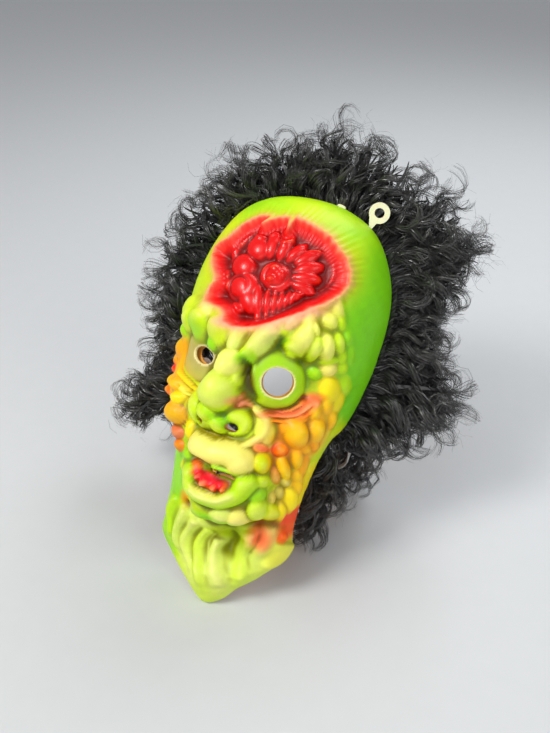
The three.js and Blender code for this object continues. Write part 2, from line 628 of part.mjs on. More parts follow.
// Turns a flat outline into a plate whose x runs along the rim, y outward and depth over the edge
function plateOnRim(shape, at, depth) {
  const frame = rimFrame(at);
  const plate = new THREE.ExtrudeGeometry(shape, { depth, bevelEnabled: false, curveSegments: 20 });
  const place = new THREE.Matrix4().makeBasis(frame.along, frame.out, frame.over);
  if (place.determinant() < 0) place.makeBasis(frame.along.clone().negate(), frame.out, frame.over);
  const start = besideRim(frame, 0, clearance, 0);
  place.setPosition(start);
  return plate.applyMatrix4(place).applyMatrix4(lean);
}

function tabOutline(spare) {
  const shape = new THREE.Shape();
  const half = tab.neck / 2 + spare;
  const ring = tab.ring + spare;
  const meet = Math.asin(Math.min(1, half / ring));
  shape.moveTo(half, -wall);
  shape.absarc(0, tab.reach, ring, -Math.PI / 2 + meet, 1.5 * Math.PI - meet, false);
  shape.lineTo(-half, -wall);
  shape.closePath();
  return shape;
}

function hangTab() {
  const shape = tabOutline(0);
  const eye = new THREE.Path();
  eye.absarc(0, tab.reach, tab.hole, 0, 2 * Math.PI, true);
  shape.holes.push(eye);
  return plateOnRim(shape, tab.at, tab.plate);
}

function stubOutline(spare) {
  const shape = new THREE.Shape();
  const half = stub.wide / 2 + spare;
  const stand = stub.stand + spare;
  shape.moveTo(half, -wall);
  shape.lineTo(half, stand / 2);
  shape.quadraticCurveTo(half, stand, 0, stand);
  shape.quadraticCurveTo(-half, stand, -half, stand / 2);
  shape.lineTo(-half, -wall);
  shape.closePath();
  return shape;
}

function rimStub() {
  return plateOnRim(stubOutline(0), stub.at, stub.plate);
}

// The room that a plate on the rim needs among the hair, open to the front so that the plate shows
function plateRoom(outline, at, plate) {
  const room = plateOnRim(outline(2 * clearance), at, plateAhead + plate + 2 * clearance);
  const shift = leanBack(new THREE.Vector3(0, -plateAhead - clearance, 0));
  return toManifold(room.translate(shift.x, shift.y, shift.z));
}

// The strap: a flat band that hangs slack behind the face, its ends sewn inside the hair's strip

function strapEnd(sign) {
  const frame = rimFrame(sign > 0 ? strap.at : 180 - strap.at);
  const depth = -wall - stripGap - weft.thickness - clearance - strap.thickness / 2;
  const sewn = besideRim(frame, depth, 0, 0);
  const leaving = besideRim(frame, depth, weft.overhang + strap.beyond, 0);
  return [leanBack(sewn), leanBack(leaving)];
}

function strapPath() {
  const hanging = (row, sign) => new THREE.Vector3(sign * row.right, row.back, row.rise).multiplyScalar(halfWidth);
  const rightHalf = strapRows.map((row) => hanging(row, 1));
  const leftHalf = strapRows.slice(0, -1).reverse().map((row) => hanging(row, -1));
  const points = [...strapEnd(1), ...rightHalf, ...leftHalf, ...strapEnd(-1).reverse()];
  return new THREE.CatmullRomCurve3(points, false, 'centripetal');
}

function strapBody(spare) {
  const curve = strapPath();
  const frames = curve.computeFrenetFrames(strap.steps, false);
  const half = strap.width / 2 + spare;
  const thin = strap.thickness / 2 + spare;
  const rings = frames.normals.map((normal, i) => {
    const centre = curve.getPointAt(i / strap.steps);
    const past = i === 0 ? -spare : i === strap.steps ? spare : 0;
    centre.addScaledVector(frames.tangents[i], past);
    return [[-thin, -half], [thin, -half], [thin, half], [-thin, half]]
      .map(([a, b]) => centre.clone().addScaledVector(normal, a).addScaledVector(frames.binormals[i], b));
  });
  return toManifold(loft(rings));
}

// The whole mask, moved so that its box stands centred on the origin

function meshOf(name, geometry, color, roughness) {
  const material = new THREE.MeshStandardMaterial({ color, roughness, metalness: 0 });
  const mesh = new THREE.Mesh(geometry, material);
  mesh.name = name;
  mesh.updateMatrix();
  return mesh;
}

function mask() {
  const group = new THREE.Group();
  group.name = 'zombie_mask';
  group.add(meshOf('mask_shell', maskShell().applyMatrix4(lean), 0x9fc53c, 0.42));
  group.add(meshOf('hair', hair(), 0x171615, 0.5));
  group.add(meshOf('hang_tab', toGeometry(toManifold(hangTab())), 0xdad7b0, 0.5));
  group.add(meshOf('rim_stub', toGeometry(toManifold(rimStub())), 0xdad7b0, 0.5));
  group.add(meshOf('elastic_strap', toGeometry(strapBody(0)), 0xe9e8e2, 0.85));
  const box = new THREE.Box3().setFromObject(group);
  const centre = box.getCenter(new THREE.Vector3());
  group.children.forEach((mesh) => mesh.geometry.translate(-centre.x, -centre.y, -box.min.z));
  return group;
}

export default mask();
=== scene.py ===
import math
import bmesh
import bpy
import numpy as np
from mathutils import Matrix, Vector


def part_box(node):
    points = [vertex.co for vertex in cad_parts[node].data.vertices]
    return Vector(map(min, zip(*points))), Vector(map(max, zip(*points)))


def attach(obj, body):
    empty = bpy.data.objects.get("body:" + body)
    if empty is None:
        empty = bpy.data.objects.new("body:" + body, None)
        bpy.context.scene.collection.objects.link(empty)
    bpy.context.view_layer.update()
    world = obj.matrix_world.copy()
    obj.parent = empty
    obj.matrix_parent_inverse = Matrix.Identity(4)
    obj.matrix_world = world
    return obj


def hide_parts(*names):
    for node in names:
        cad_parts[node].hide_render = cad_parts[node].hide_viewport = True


# The zombie mask: painted vinyl face, brain wound, curly hair, hanging ring and elastic.
# Shapes are worked out in millimetres in the mask's own frame, with x to the viewer's right,
# y to the back, z up and the eye line at z = 0, then leaned back and moved to where it stands.

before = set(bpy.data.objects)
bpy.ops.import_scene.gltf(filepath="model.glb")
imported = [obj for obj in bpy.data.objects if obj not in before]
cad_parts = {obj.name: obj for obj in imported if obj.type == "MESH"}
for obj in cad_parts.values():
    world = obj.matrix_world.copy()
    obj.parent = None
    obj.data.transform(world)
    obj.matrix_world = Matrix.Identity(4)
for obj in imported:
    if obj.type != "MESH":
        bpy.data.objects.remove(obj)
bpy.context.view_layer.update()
rng = np.random.default_rng(41)
print("frame loaded")


# standing place

stand = {"lean": 26.0, "strapCorner": (-71.3, -21.7, -124.35)}  # the strap's low corner before it is moved
mm = 0.001
leanCos = math.cos(math.radians(stand["lean"]))
leanSin = math.sin(math.radians(stand["lean"]))
rowShift = np.array(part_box("elastic_strap")[0]) - np.array(stand["strapCorner"]) * mm
floorUp = -rowShift[2] / mm  # the surface's height in the leaned frame, in mm


def leanBack(points, way=1):  # mask frame to leaned frame, both in mm; way -1 goes the other way
    points = np.asarray(points, float)
    x, y, z = points[..., 0], points[..., 1], points[..., 2]
    return np.stack([x, y * leanCos + z * leanSin * way, -y * leanSin * way + z * leanCos], -1)


def toRow(points):  # leaned frame in mm to where the mask stands, in metres
    return np.asarray(points, float) * mm + rowShift


# mesh helpers


def makeMesh(name, points, faces):
    points = np.asarray(points, np.float32)
    faces = np.asarray(faces, np.int32)
    corners = faces.shape[1]
    mesh = bpy.data.meshes.new(name)
    mesh.vertices.add(len(points))
    mesh.vertices.foreach_set("co", points.ravel())
    mesh.loops.add(faces.size)
    mesh.loops.foreach_set("vertex_index", faces.ravel())
    mesh.polygons.add(len(faces))
    mesh.polygons.foreach_set("loop_start", np.arange(0, faces.size, corners, dtype=np.int32))
    mesh.polygons.foreach_set("loop_total", np.full(len(faces), corners, np.int32))
    mesh.update(calc_edges=True)
    mesh.validate()
    mesh.polygons.foreach_set("use_smooth", np.full(len(mesh.polygons), True))
    piece = bpy.data.objects.new(name, mesh)
    bpy.context.scene.collection.objects.link(piece)
    return piece


def unit(vectors):  # each to a length of 1
    return vectors / np.maximum(np.linalg.norm(vectors, axis=-1), 1e-9)[..., None]


def addValues(piece, name, values):  # one number a vertex, for the materials to read
    layer = piece.data.attributes.new(name, "FLOAT", "POINT")
    layer.data.foreach_set("value", np.asarray(values, np.float32))


def addPaint(piece, name, colours):
    layer = piece.data.color_attributes.new(name, "FLOAT_COLOR", "POINT")
    full = np.concatenate([colours, np.ones((len(colours), 1))], 1)
    layer.data.foreach_set("color", full.astype(np.float32).ravel())


def smoothStep(value, low, high):
    t = np.clip((value - low) / (high - low), 0, 1)
    return t * t * (3 - 2 * t)


# base surface of the face: an oval dome between the rim and the front

face = {"halfWidth": 80.0, "eyeToLip": 100.0, "depth": 86.0, "middleUp": -0.3, "wall": 2.4}
rimRows = [  # across, back, up: shares of halfWidth, depth and eyeToLip, once round from the crown
    (0, -0.02, 1.31), (0.42, 0.02, 1.26), (0.75, 0.09, 1.08), (0.98, 0.09, 0.68), (1, 0, 0.2),
    (0.89, -0.16, -0.32), (0.79, -0.39, -0.52), (0.7, -0.48, -0.86), (0.67, -0.53, -1.16),
    (0.67, -0.56, -1.42), (0.5, -0.66, -1.64), (0.24, -0.76, -1.8), (0.04, -0.81, -1.94),
    (-0.2, -0.76, -1.8), (-0.46, -0.66, -1.7), (-0.64, -0.6, -1.54), (-0.65, -0.55, -1.22),
    (-0.7, -0.48, -0.86), (-0.79, -0.39, -0.52), (-0.89, -0.16, -0.32), (-1, 0, 0.2),
    (-0.98, 0.09, 0.68), (-0.75, 0.09, 1.08), (-0.42, 0.02, 1.26),
]
rimKnots = np.array(rimRows, float) * [face["halfWidth"], face["depth"], face["eyeToLip"]]
middle = np.array([0, -face["depth"], face["middleUp"] * face["eyeToLip"]])


def betweenKnots(a, b, c, d, t):  # a smooth step from b to c, led by a and d
    return 0.5 * (2 * b + (c - a) * t + (2 * a - 5 * b + 4 * c - d) * t ** 2
                  + (3 * b - a - 3 * c + d) * t ** 3)


def closedCurve(knots, steps):  # a smooth closed curve through the knots
    t = np.linspace(0, 1, steps, endpoint=False)[:, None]
    fours = zip(*[np.roll(knots, shift, 0) for shift in (1, 0, -1, -2)])
    return np.concatenate([betweenKnots(*four, t) for four in fours])


rimCurve = closedCurve(rimKnots, 40)
rimAngles = np.arctan2(rimCurve[:, 2] - middle[2], rimCurve[:, 0] - middle[0])
rimCurve, rimAngles = rimCurve[np.argsort(rimAngles)], np.sort(rimAngles)


def rimAt(angle):  # the rim's place at an angle round the middle
    rows = [np.interp(angle, rimAngles, rimCurve[:, k], period=2 * np.pi) for k in range(3)]
    return np.stack(rows, -1)


def baseAt(angle, share):  # the dome, from its front at share 0 to the rim at 1
    edge = rimAt(angle)
    around, ahead = np.sin(share * np.pi / 2), np.cos(share * np.pi / 2)
    x = middle[0] + (edge[..., 0] - middle[0]) * around
    y = edge[..., 1] + (middle[1] - edge[..., 1]) * ahead
    z = middle[2] + (edge[..., 2] - middle[2]) * around
    return np.stack([x, y, z], -1)


def shareOut(x, z, edge):  # how far out a place lies: 0 in the middle, 1 at the edge
    reach = np.hypot(edge[..., 0] - middle[0], edge[..., 2] - middle[2])
    return np.hypot(x - middle[0], z - middle[2]) / reach


def seat(x, z):  # the base surface straight behind a place on the front view
    x, z = np.asarray(x, float), np.asarray(z, float)
    angle = np.arctan2(z - middle[2], x - middle[0])
    return baseAt(angle, np.arcsin(np.clip(shareOut(x, z, rimAt(angle)), 0, 1)) * 2 / np.pi)


def seatFrame(x, z):  # origin, right, climb and out at a seat
    step = 1.5
    right = unit(seat(x + step, z) - seat(x - step, z))
    out = unit(np.cross(right, unit(seat(x, z + step) - seat(x, z - step))))
    return seat(x, z), right, np.cross(out, right), out


# relief: rows in mm on the front view of the mask, with the colour each is sprayed in

tints = {  # red, green and blue as seen on a screen
    "lemon": (240, 242, 126), "lemonLime": (206, 232, 82), "limeLemon": (196, 232, 44),
    "lime": (150, 216, 18), "oliveLime": (170, 190, 30), "creamLime": (222, 232, 132),
    "cream": (250, 232, 140), "creamOlive": (222, 206, 112), "creamTan": (228, 196, 112),
    "yellow": (253, 224, 20), "yellowLime": (216, 221, 22), "limeYellow": (205, 235, 20),
    "limeAmber": (226, 206, 40), "amber": (253, 190, 18), "amberOrange": (245, 160, 18),
    "orange": (250, 164, 28), "apricot": (252, 198, 62), "salmon": (236, 150, 95),
    "coral": (247, 126, 92), "scarletOrange": (250, 96, 26), "red": (240, 48, 42), "pink": (226, 58, 92),
    "tan": (186, 172, 104), "gum": (240, 30, 70), "tooth": (236, 44, 30), "lipLime": (176, 226, 30),
    "leaf": (118, 176, 46), "shade": (120, 112, 22), "skullMid": (162, 222, 14),
    # the skull's lime is its paint; skullTop and skullPale lighten it as painted highlights, skullGreen deepens it
    # as painted shade down the sides
    "eyeLime": (160, 206, 34), "skullTop": (186, 236, 12), "skullGreen": (126, 204, 0),
    "skullPale": (216, 233, 74), "pinkCream": (242, 196, 160), "softCoral": (244, 156, 118),
}
formRows = [  # broad forms, which add up: x, z, wide, tall, stand
    (-2, -14, 21, 40, 11),      # ridge of the nose
    (4, -90, 42, 46, 13),       # muzzle
    (35, 2, 32, 30, -11),       # right socket
    (-35, 2, 32, 30, -11),      # left socket
    (35, 30, 32, 16, 5),        # right brow
    (-35, 30, 32, 16, 5),       # left brow
    (54, -36, 27, 35, 5),       # right cheek
    (-54, -36, 27, 35, 6.5),    # left cheek
    (8, -146, 40, 21, -12),     # throat
    (2, -180, 40, 21, 4),       # hem of the flap
]
relief = {
    "roundness": 0.62, "grow": 1.2, "blend": 1.2, "colourBlend": 1.3, "skinHold": 1.2, "skinShare": 0.22,
    "rollTaper": 3, "rollWarp": 0.4, "warp": 1.3, "warpSize": 20, "foldBlend": 1.4, "joinBlend": 1,
    "skirtReach": 4.5, "skirtMost": 1.6, "skirtShare": 0.62, "skirtBlend": 3,
    "hem": 2.4, "hemSize": 26, "sprayWander": 4, "sprayWanderSize": 40,
}
lumpRows = [  # name, x, z, wide, tall, turn, stand, colour: domes, the highest showing
    ("noseBall", -7, -18.5, 14, 15.2, -5, 20.5, "lemonLime"),
    ("noseBridge", -3.6, 1.4, 11.4, 10.4, 15, 15.5, "lemon"),
    ("bridgeSide", 7, -7, 5.1, 7.3, 15, 10, "lemonLime"),
    ("noseTip", -12, -38, 10.6, 9, 31, 17, "limeLemon"),
    ("noseTipLow", -12, -46, 10.5, 6, 18, 14, "oliveLime"),
    ("wingLeft", -23, -39, 8, 13, 25, 13, "lemonLime"),
    ("wingRight", 12, -41.5, 11.4, 11.2, -20, 12.2, "lemonLime"),
    ("noseMiddle", -2, -43, 9.8, 7, 10, 14.5, "limeLemon"),
    ("wingSwell", 27, -40, 8.4, 13.5, 18, 8.8, "lemon"),
    ("eyeballRight", 30, -3.6, 20, 20.6, 0, 15.5, "eyeLime"),
    ("eyeballLeft", -36, 1, 20, 20, 0, 12, "tan"),
    ("browFlap", 13.8, 18.6, 8.2, 17, -21, 12.8, "creamLime"),
    ("browFlapTip", 9.6, 9.6, 7, 8.4, -10, 13, "limeLemon"),
    ("browBetween", -4.6, 17.4, 6.4, 11.2, 10, 10.8, "creamLime"),
    ("browLeftMain", -20.5, 18.4, 11.6, 15, -30, 13.6, "lemonLime"),
    ("browLeftTip", -24.6, 10.4, 8.4, 7.6, -20, 14, "limeLemon"),
    ("browLeftMiddle", -39, 17.5, 12.5, 14.5, 20, 13, "limeLemon"),
    ("browLeftOuter", -52, 22, 9.5, 10.5, -20, 10.5, "lemonLime"),
    ("browLeftEdge", -58, 28, 11, 12, 0, 9, "lemonLime"),
    ("browLeftTop", -36, 33, 6.5, 8.1, 36, 6, "lemon"),
    ("browLeftNub", -61, 12, 7, 6, 0, 7, "lime"),
    ("browDrop", 39.6, 27.6, 6.8, 15.2, -17, 12.3, "lemon"),
    ("browDropTip", 37, 19.4, 7.4, 7.6, 0, 12.6, "lemonLime"),
    ("browLeafIn", 47.6, 23.6, 5.8, 10.2, -8, 12.2, "lemonLime"),
    ("browLeafMiddle", 54.2, 25.6, 6.4, 10, 10, 12, "lemon"),
    ("browLeafOut", 60.4, 30.4, 5, 8.4, 20, 8.8, "lemonLime"),
    ("browKnob", 47, 59, 8, 6.4, 35, 8.5, "creamOlive"),
    ("browKnobRight", 55, 54, 5.3, 7.9, 19, 7, "lemon"),
    ("browUpper", 53, 45, 5.3, 6, -3, 8, "lemon"),
    ("browUpperRight", 59, 46, 4.2, 6.4, 21, 6, "limeLemon"),
    ("browStrip", 46, 37, 2.7, 5.5, 12, 9.5, "lemon"),
    ("browUpperLeft", 41, 41, 5.6, 7.4, -3, 7, "cream"),
    ("browStreak", 32, 42, 4.6, 9.4, -40, 6.5, "pinkCream"),
    ("browStreakLeft", 23, 38, 4.4, 9, -35, 5.5, "creamLime"),
    ("sideHigh", 65, 35, 4.7, 6.7, 35, 5, "lime"),
    ("sideLow", 69, 22, 4.9, 7.7, 22, 4.5, "lime"),
    ("sideLowIn", 64, 21, 4.6, 6.6, 28, 6.5, "limeLemon"),
    ("sideNubA", 52, 6, 5.9, 5.4, -30, 7.5, "lime"),
    ("sideNubB", 59, 11, 7, 5.4, -12, 7.5, "cream"),
    ("sideNubC", 66, 13, 4.4, 5.3, 41, 6, "limeLemon"),
    ("sideNubD", 49, -2, 3.5, 4.7, 21, 4, "lime"),
    ("underBrow", 57, 17, 9.6, 3.9, 9, 7.5, "limeLemon"),
    ("cheekTopA", 62, -5, 8.5, 10.6, 44, 7.5, "yellow"),
    ("cheekTopB", 69, -1, 6.2, 8.8, 43, 5, "limeLemon"),
    ("cheekTopC", 66, -14, 6.9, 9.5, 14, 6.5, "yellow"),
    ("cheekTopD", 61, -16, 5.1, 8, 18, 6, "amber"),
    ("cheekA", 54, -16, 5.2, 4.6, -24, 6.5, "apricot"),
    ("cheekB", 54, -22, 5.4, 6.2, 36, 7.5, "amber"),
    ("cheekC", 47, -27, 5.9, 4.6, 1, 7, "orange"),
    ("cheekEgg", 46, -39, 8, 11.9, 20, 11.5, "amber"),
    ("cheekDrop", 56, -36, 7.1, 9.9, 8, 10, "amber"),
    ("cheekSide", 64, -28, 5, 8, 12, 7, "amber"),
    ("cheekNubA", 53, -52, 4.8, 3.8, -26, 7, "apricot"),
    ("cheekNubB", 57, -48, 4.4, 5.8, 23, 6.5, "orange"),
    ("cheekIn", 39, -37, 3.7, 6.9, 14, 6.5, "orange"),
    ("cheekFold", 40, -54, 5.4, 4.9, 23, 9, "scarletOrange"),
    ("dropCoral", 27, -54, 6.8, 5.2, -24, 9.5, "coral"),
    ("dropGreen", 30, -65, 6.8, 8.7, 5, 12.5, "limeAmber"),
    ("dropLong", 44, -68, 4.5, 10.8, 23, 9.5, "apricot"),
    ("dropSalmon", 40, -74, 3.9, 7.4, 16, 8, "salmon"),
    ("dropTan", 46, -79, 4.8, 4.2, -43, 8.5, "tan"),
    ("jawLong", 50, -60, 4.2, 9, 22, 8, "apricot"),
    ("jawRight", 54, -67, 4.3, 8.9, 11, 6.5, "orange"),
    ("jawNub", 52, -75, 4.4, 5.9, 39, 7, "amber"),
    ("cornerRoll", 30, -79, 8.3, 6.2, -2, 10, "lemonLime"),
    ("cornerGreen", 31, -90, 5.6, 7.3, -5, 9.5, "lime"),
    ("cornerNubA", 40, -93, 3.4, 5, 6, 7.5, "creamTan"),
    ("cornerNubB", 44, -89, 4.2, 5.2, 18, 7.5, "tan"),
    ("jawYellowA", 50, -94, 6.1, 10.9, 11, 9, "yellow"),
    ("jawYellowB", 52, -84, 4.8, 8.1, 15, 7.5, "amber"),
    ("chinMain", 33, -101, 6.6, 10.2, 19, 12.6, "lemonLime"),
    ("chinYellow", 41, -104, 6.6, 9, 26, 10.2, "yellowLime"),
    ("chinEdge", 46, -104, 5, 8.4, 4, 8, "yellow"),
    ("chinMiddle", 22, -110, 9, 9.2, -17, 12.5, "cream"),
    ("chinLeft", 11, -109.5, 10.5, 8.4, 38, 12.5, "creamLime"),
    ("chinLeftOut", -3, -111, 9.6, 9, -32, 11.8, "oliveLime"),
    ("flapNub", 51, -126, 5.4, 4.6, 20, 5.5, "scarletOrange"),
    ("leftNubA", -64, -4, 8, 8, 0, 8, "limeYellow"),
    ("leftNubB", -66, -14, 7, 6, 0, 8.5, "amber"),
    ("leftNubC", -66, -22, 6, 5, 0, 9, "red"),
    ("leftNubD", -63, -31, 7, 5.6, 0, 9, "amber"),
    ("leftNubE", -61, -39, 7, 5, 0, 9, "scarletOrange"),
    ("leftNubF", -51, -30, 7, 5.4, 10, 7.5, "amber"),
    ("leftNubG", -44, -39, 7.5, 6, 10, 9.5, "yellow"),
    ("leftEgg", -44, -51, 11.5, 8.7, 10, 12.5, "amberOrange"),
    ("leftPink", -42, -65, 8, 5.4, 5, 9.5, "pink"),
    ("leftOrange", -39, -74, 6.6, 5, 5, 7.5, "scarletOrange"),
    ("leftWrinkle", -29, -58, 5.4, 7.4, 7, 8, "yellow"),
    ("lipLeftNub", -22, -74, 5.4, 6.2, -44, 8, "lime"),
    ("lipLeftNubB", -24, -84, 4.6, 6.2, -23, 6.5, "yellowLime"),
    ("toothA", -5.9, -84.4, 2.4, 2.8, -28, 12, "tooth"),
    ("toothB", -0.6, -87, 2.4, 2.7, -14, 12.2, "tooth"),
    ("toothC", 5.2, -87.9, 2.5, 2.7, -5, 12.2, "tooth"),
    ("toothD", 11.4, -87.3, 2.4, 2.7, 10, 12, "tooth"),
]
rollRows = [  # name, half width, stand, colour, x and z of the knots: long rolls and folds
    ("upperLip", 11.6, 13.5, "cream",
     [(-13.8, -62.9), (-3.1, -62.9), (7.5, -61.3), (16.3, -63.4), (18.3, -66)]),
    ("lowerLip", 7.9, 14, "lipLime",
     [(-15.6, -84.5), (-11.5, -93.8), (-0.4, -97.7), (11.1, -96.5), (20.8, -89), (24, -79.9)]),
    ("lipCrest", 4.6, 15.2, "creamLime", [(-7, -94), (1, -96.3), (10.1, -95), (17.8, -89.5)]),
    ("lipRim", 1.7, 12.6, "cream",
     [(-17.4, -80), (-14.2, -88), (-2, -92.6), (10.4, -92.2), (18, -87)]),
    ("gum", 5.8, 7.6, "gum", [(-12.2, -77.5), (-7.6, -84.6), (1.3, -87.4), (12.6, -86.6)]),
    ("wingFold", 4.5, 9.8, "cream",
     [(21.3, -27.3), (28.3, -34.1), (28.2, -43.4), (21.5, -51.4), (13, -56), (5.1, -53.9)]),
    ("eyeFoldA", 1.5, 7, "salmon",
     [(18.5, -22), (27.5, -25.4), (37.1, -25), (45.6, -19), (51.6, -11.6)]),
    ("eyeFoldB", 1.6, 7.4, "coral",
     [(15, -24.8), (24.2, -28.3), (33.7, -29.2), (43.3, -25.6), (50.3, -18.3), (55.4, -9.2)]),
    ("eyeFoldC", 1.6, 6.8, "scarletOrange",
     [(24.2, -31.6), (34.6, -33.2), (44.4, -29.4), (51.8, -21.6), (56.9, -12.6)]),
    ("leftFoldA", 1.7, 5.2, "yellow", [(-56, -17.5), (-44.4, -22.2), (-33.3, -26.5), (-24.1, -25.6)]),
    ("leftFoldB", 1.6, 5, "limeYellow", [(-52.3, -12.8), (-42.5, -18.9), (-32, -22.3), (-23.8, -20.8)]),
    ("leftFoldC", 1.7, 5.4, "lemon", [(-47, -28.2), (-38.8, -32.4), (-29.7, -31.5)]),
    ("pinkFoldA", 1.8, 5.6, "softCoral", [(5.5, -26.1), (10.1, -19.5), (12.5, -13.5)]),
    ("pinkFoldB", 2.2, 6, "softCoral", [(7.9, -28.1), (13.2, -23.5), (20, -26.5)]),
    ("underLip", 2.8, 8.4, "lime", [(-3.2, -74.4), (8, -73.4), (18.7, -74.9), (23.5, -76.4)]),
]
foldRows = [  # half width, stand, colour, knots: draped folds of the flap
    (6.4, 4.6, "creamLime", [(44.3, -114.5), (44.9, -127.2), (40.4, -141.6), (34.9, -157.4)]),
    (4.5, 4.4, "lemon", [(51.3, -129.6), (49.5, -142.9), (44.7, -155.1)]),
    (6.5, 5.9, "lemonLime", [(29.8, -120.7), (30.8, -136.3), (28.8, -153.2), (22.5, -168.6)]),
    (6.3, 6.1, "creamLime", [(9.4, -139.9), (7.4, -155), (12.4, -176.7)]),
    (5.1, 5.7, "lemonLime", [(-1.5, -127.7), (-8.3, -149), (0.3, -178.2)]),
    (5.3, 5.4, "creamLime", [(-12.9, -121.5), (-20.7, -146.4), (-10.1, -171.5)]),
    (4.5, 5.2, "creamLime", [(-25.2, -118.1), (-30.7, -141.3), (-22.3, -163.1)]),
    (4.2, 4.4, "limeLemon", [(-35.9, -114.6), (-40, -134.5), (-35.5, -153.5)]),
    (3, 2.7, "creamLime", [(2.5, -131.7), (-1, -146), (5.3, -163.2)]),
    (2.5, 2.5, "lemonLime", [(-18.5, -134), (-15, -152), (-6, -164)]),
]
grooveRows = [  # half width, depth and knots of the creases
    (1.8, 3,
     [(10.5, 4), (9, -6), (11.5, -16), (19, -22.5), (30, -25), (41, -21.5), (49, -13)]),
    (2.8, 5, [(7.6, 6.5), (11, -4), (14, -12), (18.5, -18)]),      # nose and right eyeball
    (2.6, 3.5, [(-13, 2), (-16, -12), (-21, -24)]),                # nose and left cheek
    (1.8, 2.6, [(-1, -53), (8, -51.5), (17, -47), (20.8, -38), (17.5, -29.5)]),
    (2.2, 3, [(-22, -52), (-12, -53.5), (-2, -54)]),               # nose and upper lip
    (2, 3.4, [(-14.5, -73), (-6, -73.6), (-1, -77)]),                # left end of the smile
    (4.5, 6,  # under the chin
     [(-22, -117), (-6, -121.5), (12, -123), (30, -118), (42, -113.5)]),
    (6, 7, [(16, -126), (20, -138), (17, -150)]),              # hollow of the flap
    (3, 1.2, [(36.5, -112), (37.5, -128), (34, -142)]),
    (1.8, 2.4, [(44, 12), (37, 17.5), (28, 20)]),                    # brow and right eyeball
]
dentRows = [  # x, z, reach, depth: pits
    (8.5, -42.5, 5.5, 5),
    (-17, -45.5, 5, 5),
    (24.4, 23.5, 6.5, 2.6),
]
wrinkleSets = [  # x, z of the centre, inner and outer radius, spacing, height, from and to in degrees
    (30, -3, 19, 24, 2.6, 0.5, 195, 345),       # under the right eye
    (-35, -3, 19, 32, 3.8, 0.9, 190, 330),      # under the left eye
    (-20, -42, 14, 26, 3.2, 0.8, 150, 240),     # left of the nose
    (9, 1, 2, 10, 2.2, 0.7, 0, 360),            # bridge
    (-4, 20, 4, 22, 3, 1.2, 60, 300),         # between the brows
    (24, 24, 0, 7, 1.8, 0.8, 0, 360),           # notch in the right brow
    (30, -80, 12, 19, 3.2, 0.6, -40, 50),       # smile
    (-8, -100, 8, 22, 2.6, 0.35, 200, 300),     # lower lip
]
sprayRows = [  # x, z, wide, tall, turn, strength, colour: broad sprays, later ones over the earlier
    # skull: lime paint, with painted highlights on the top and in pale patches, and painted shade in deeper green
    # down the sides
    (0, 105, 105, 75, 0, 1.5, "skullMid"),
    (0, 138, 80, 26, 0, 1, "skullTop"),
    (-58, 88, 26, 52, 10, 0.9, "skullPale"),
    (20, 122, 45, 9, -10, 0.5, "skullPale"),
    (58, 88, 12, 28, 6, 0.5, "skullPale"),
    (86, 58, 38, 96, 4, 1.25, "skullGreen"),
    (-78, 60, 14, 60, 0, 0.9, "skullGreen"),
    (80, -12, 22, 40, 0, 1.5, "skullGreen"),
    (0, 26, 62, 22, 0, 0.7, "limeLemon"),
    (47, -36, 23, 30, 0, 1.4, "amber"),
    (42, -58, 20, 18, 20, 1, "orange"),
    (54, -88, 14, 30, 0, 1.2, "yellow"),
    (-58, -24, 26, 34, 0, 1.4, "amber"),
    (-34, -28, 16, 18, 0, 1, "yellow"),
    (-34, 2, 20, 17, 0, 1.2, "tan"),
    (30, -3, 23, 24, 0, 1.2, "eyeLime"),
    (0, -92, 26, 24, 0, 0.6, "lemonLime"),
    (-42, -96, 24, 34, 0, 1.4, "lime"),
    (-40, -148, 20, 40, 0, 0.8, "lime"),
    (8, -150, 44, 50, 0, 0.8, "creamLime"),
    (20, -130, 26, 14, 0, 1, "oliveLime"),
    (50, -138, 13, 26, 10, 0.8, "limeAmber"),
    (46, -118, 15, 12, -15, 1.3, "coral"),
    (36, -132, 11, 15, 15, 0.9, "coral"),
    (53, -110, 9, 9, 0, 1.2, "scarletOrange"),
    (-24, -112, 8, 10, 0, 0.8, "amberOrange"),
    (42, -22, 17, 5.5, 22, 1.3, "coral"),
    (10, -24, 9, 6, 20, 1.2, "coral"),
    (30, -51, 12, 6, -20, 1.2, "coral"),
    (41, 50, 16, 8, 20, 0.8, "pinkCream"),
    (24.4, 23.5, 8, 7, 15, 1.3, "leaf"),
    (12, -7, 5, 17, 20, 0.9, "shade"),
    (-30, 40, 14, 6, -10, 0.6, "leaf"),
]
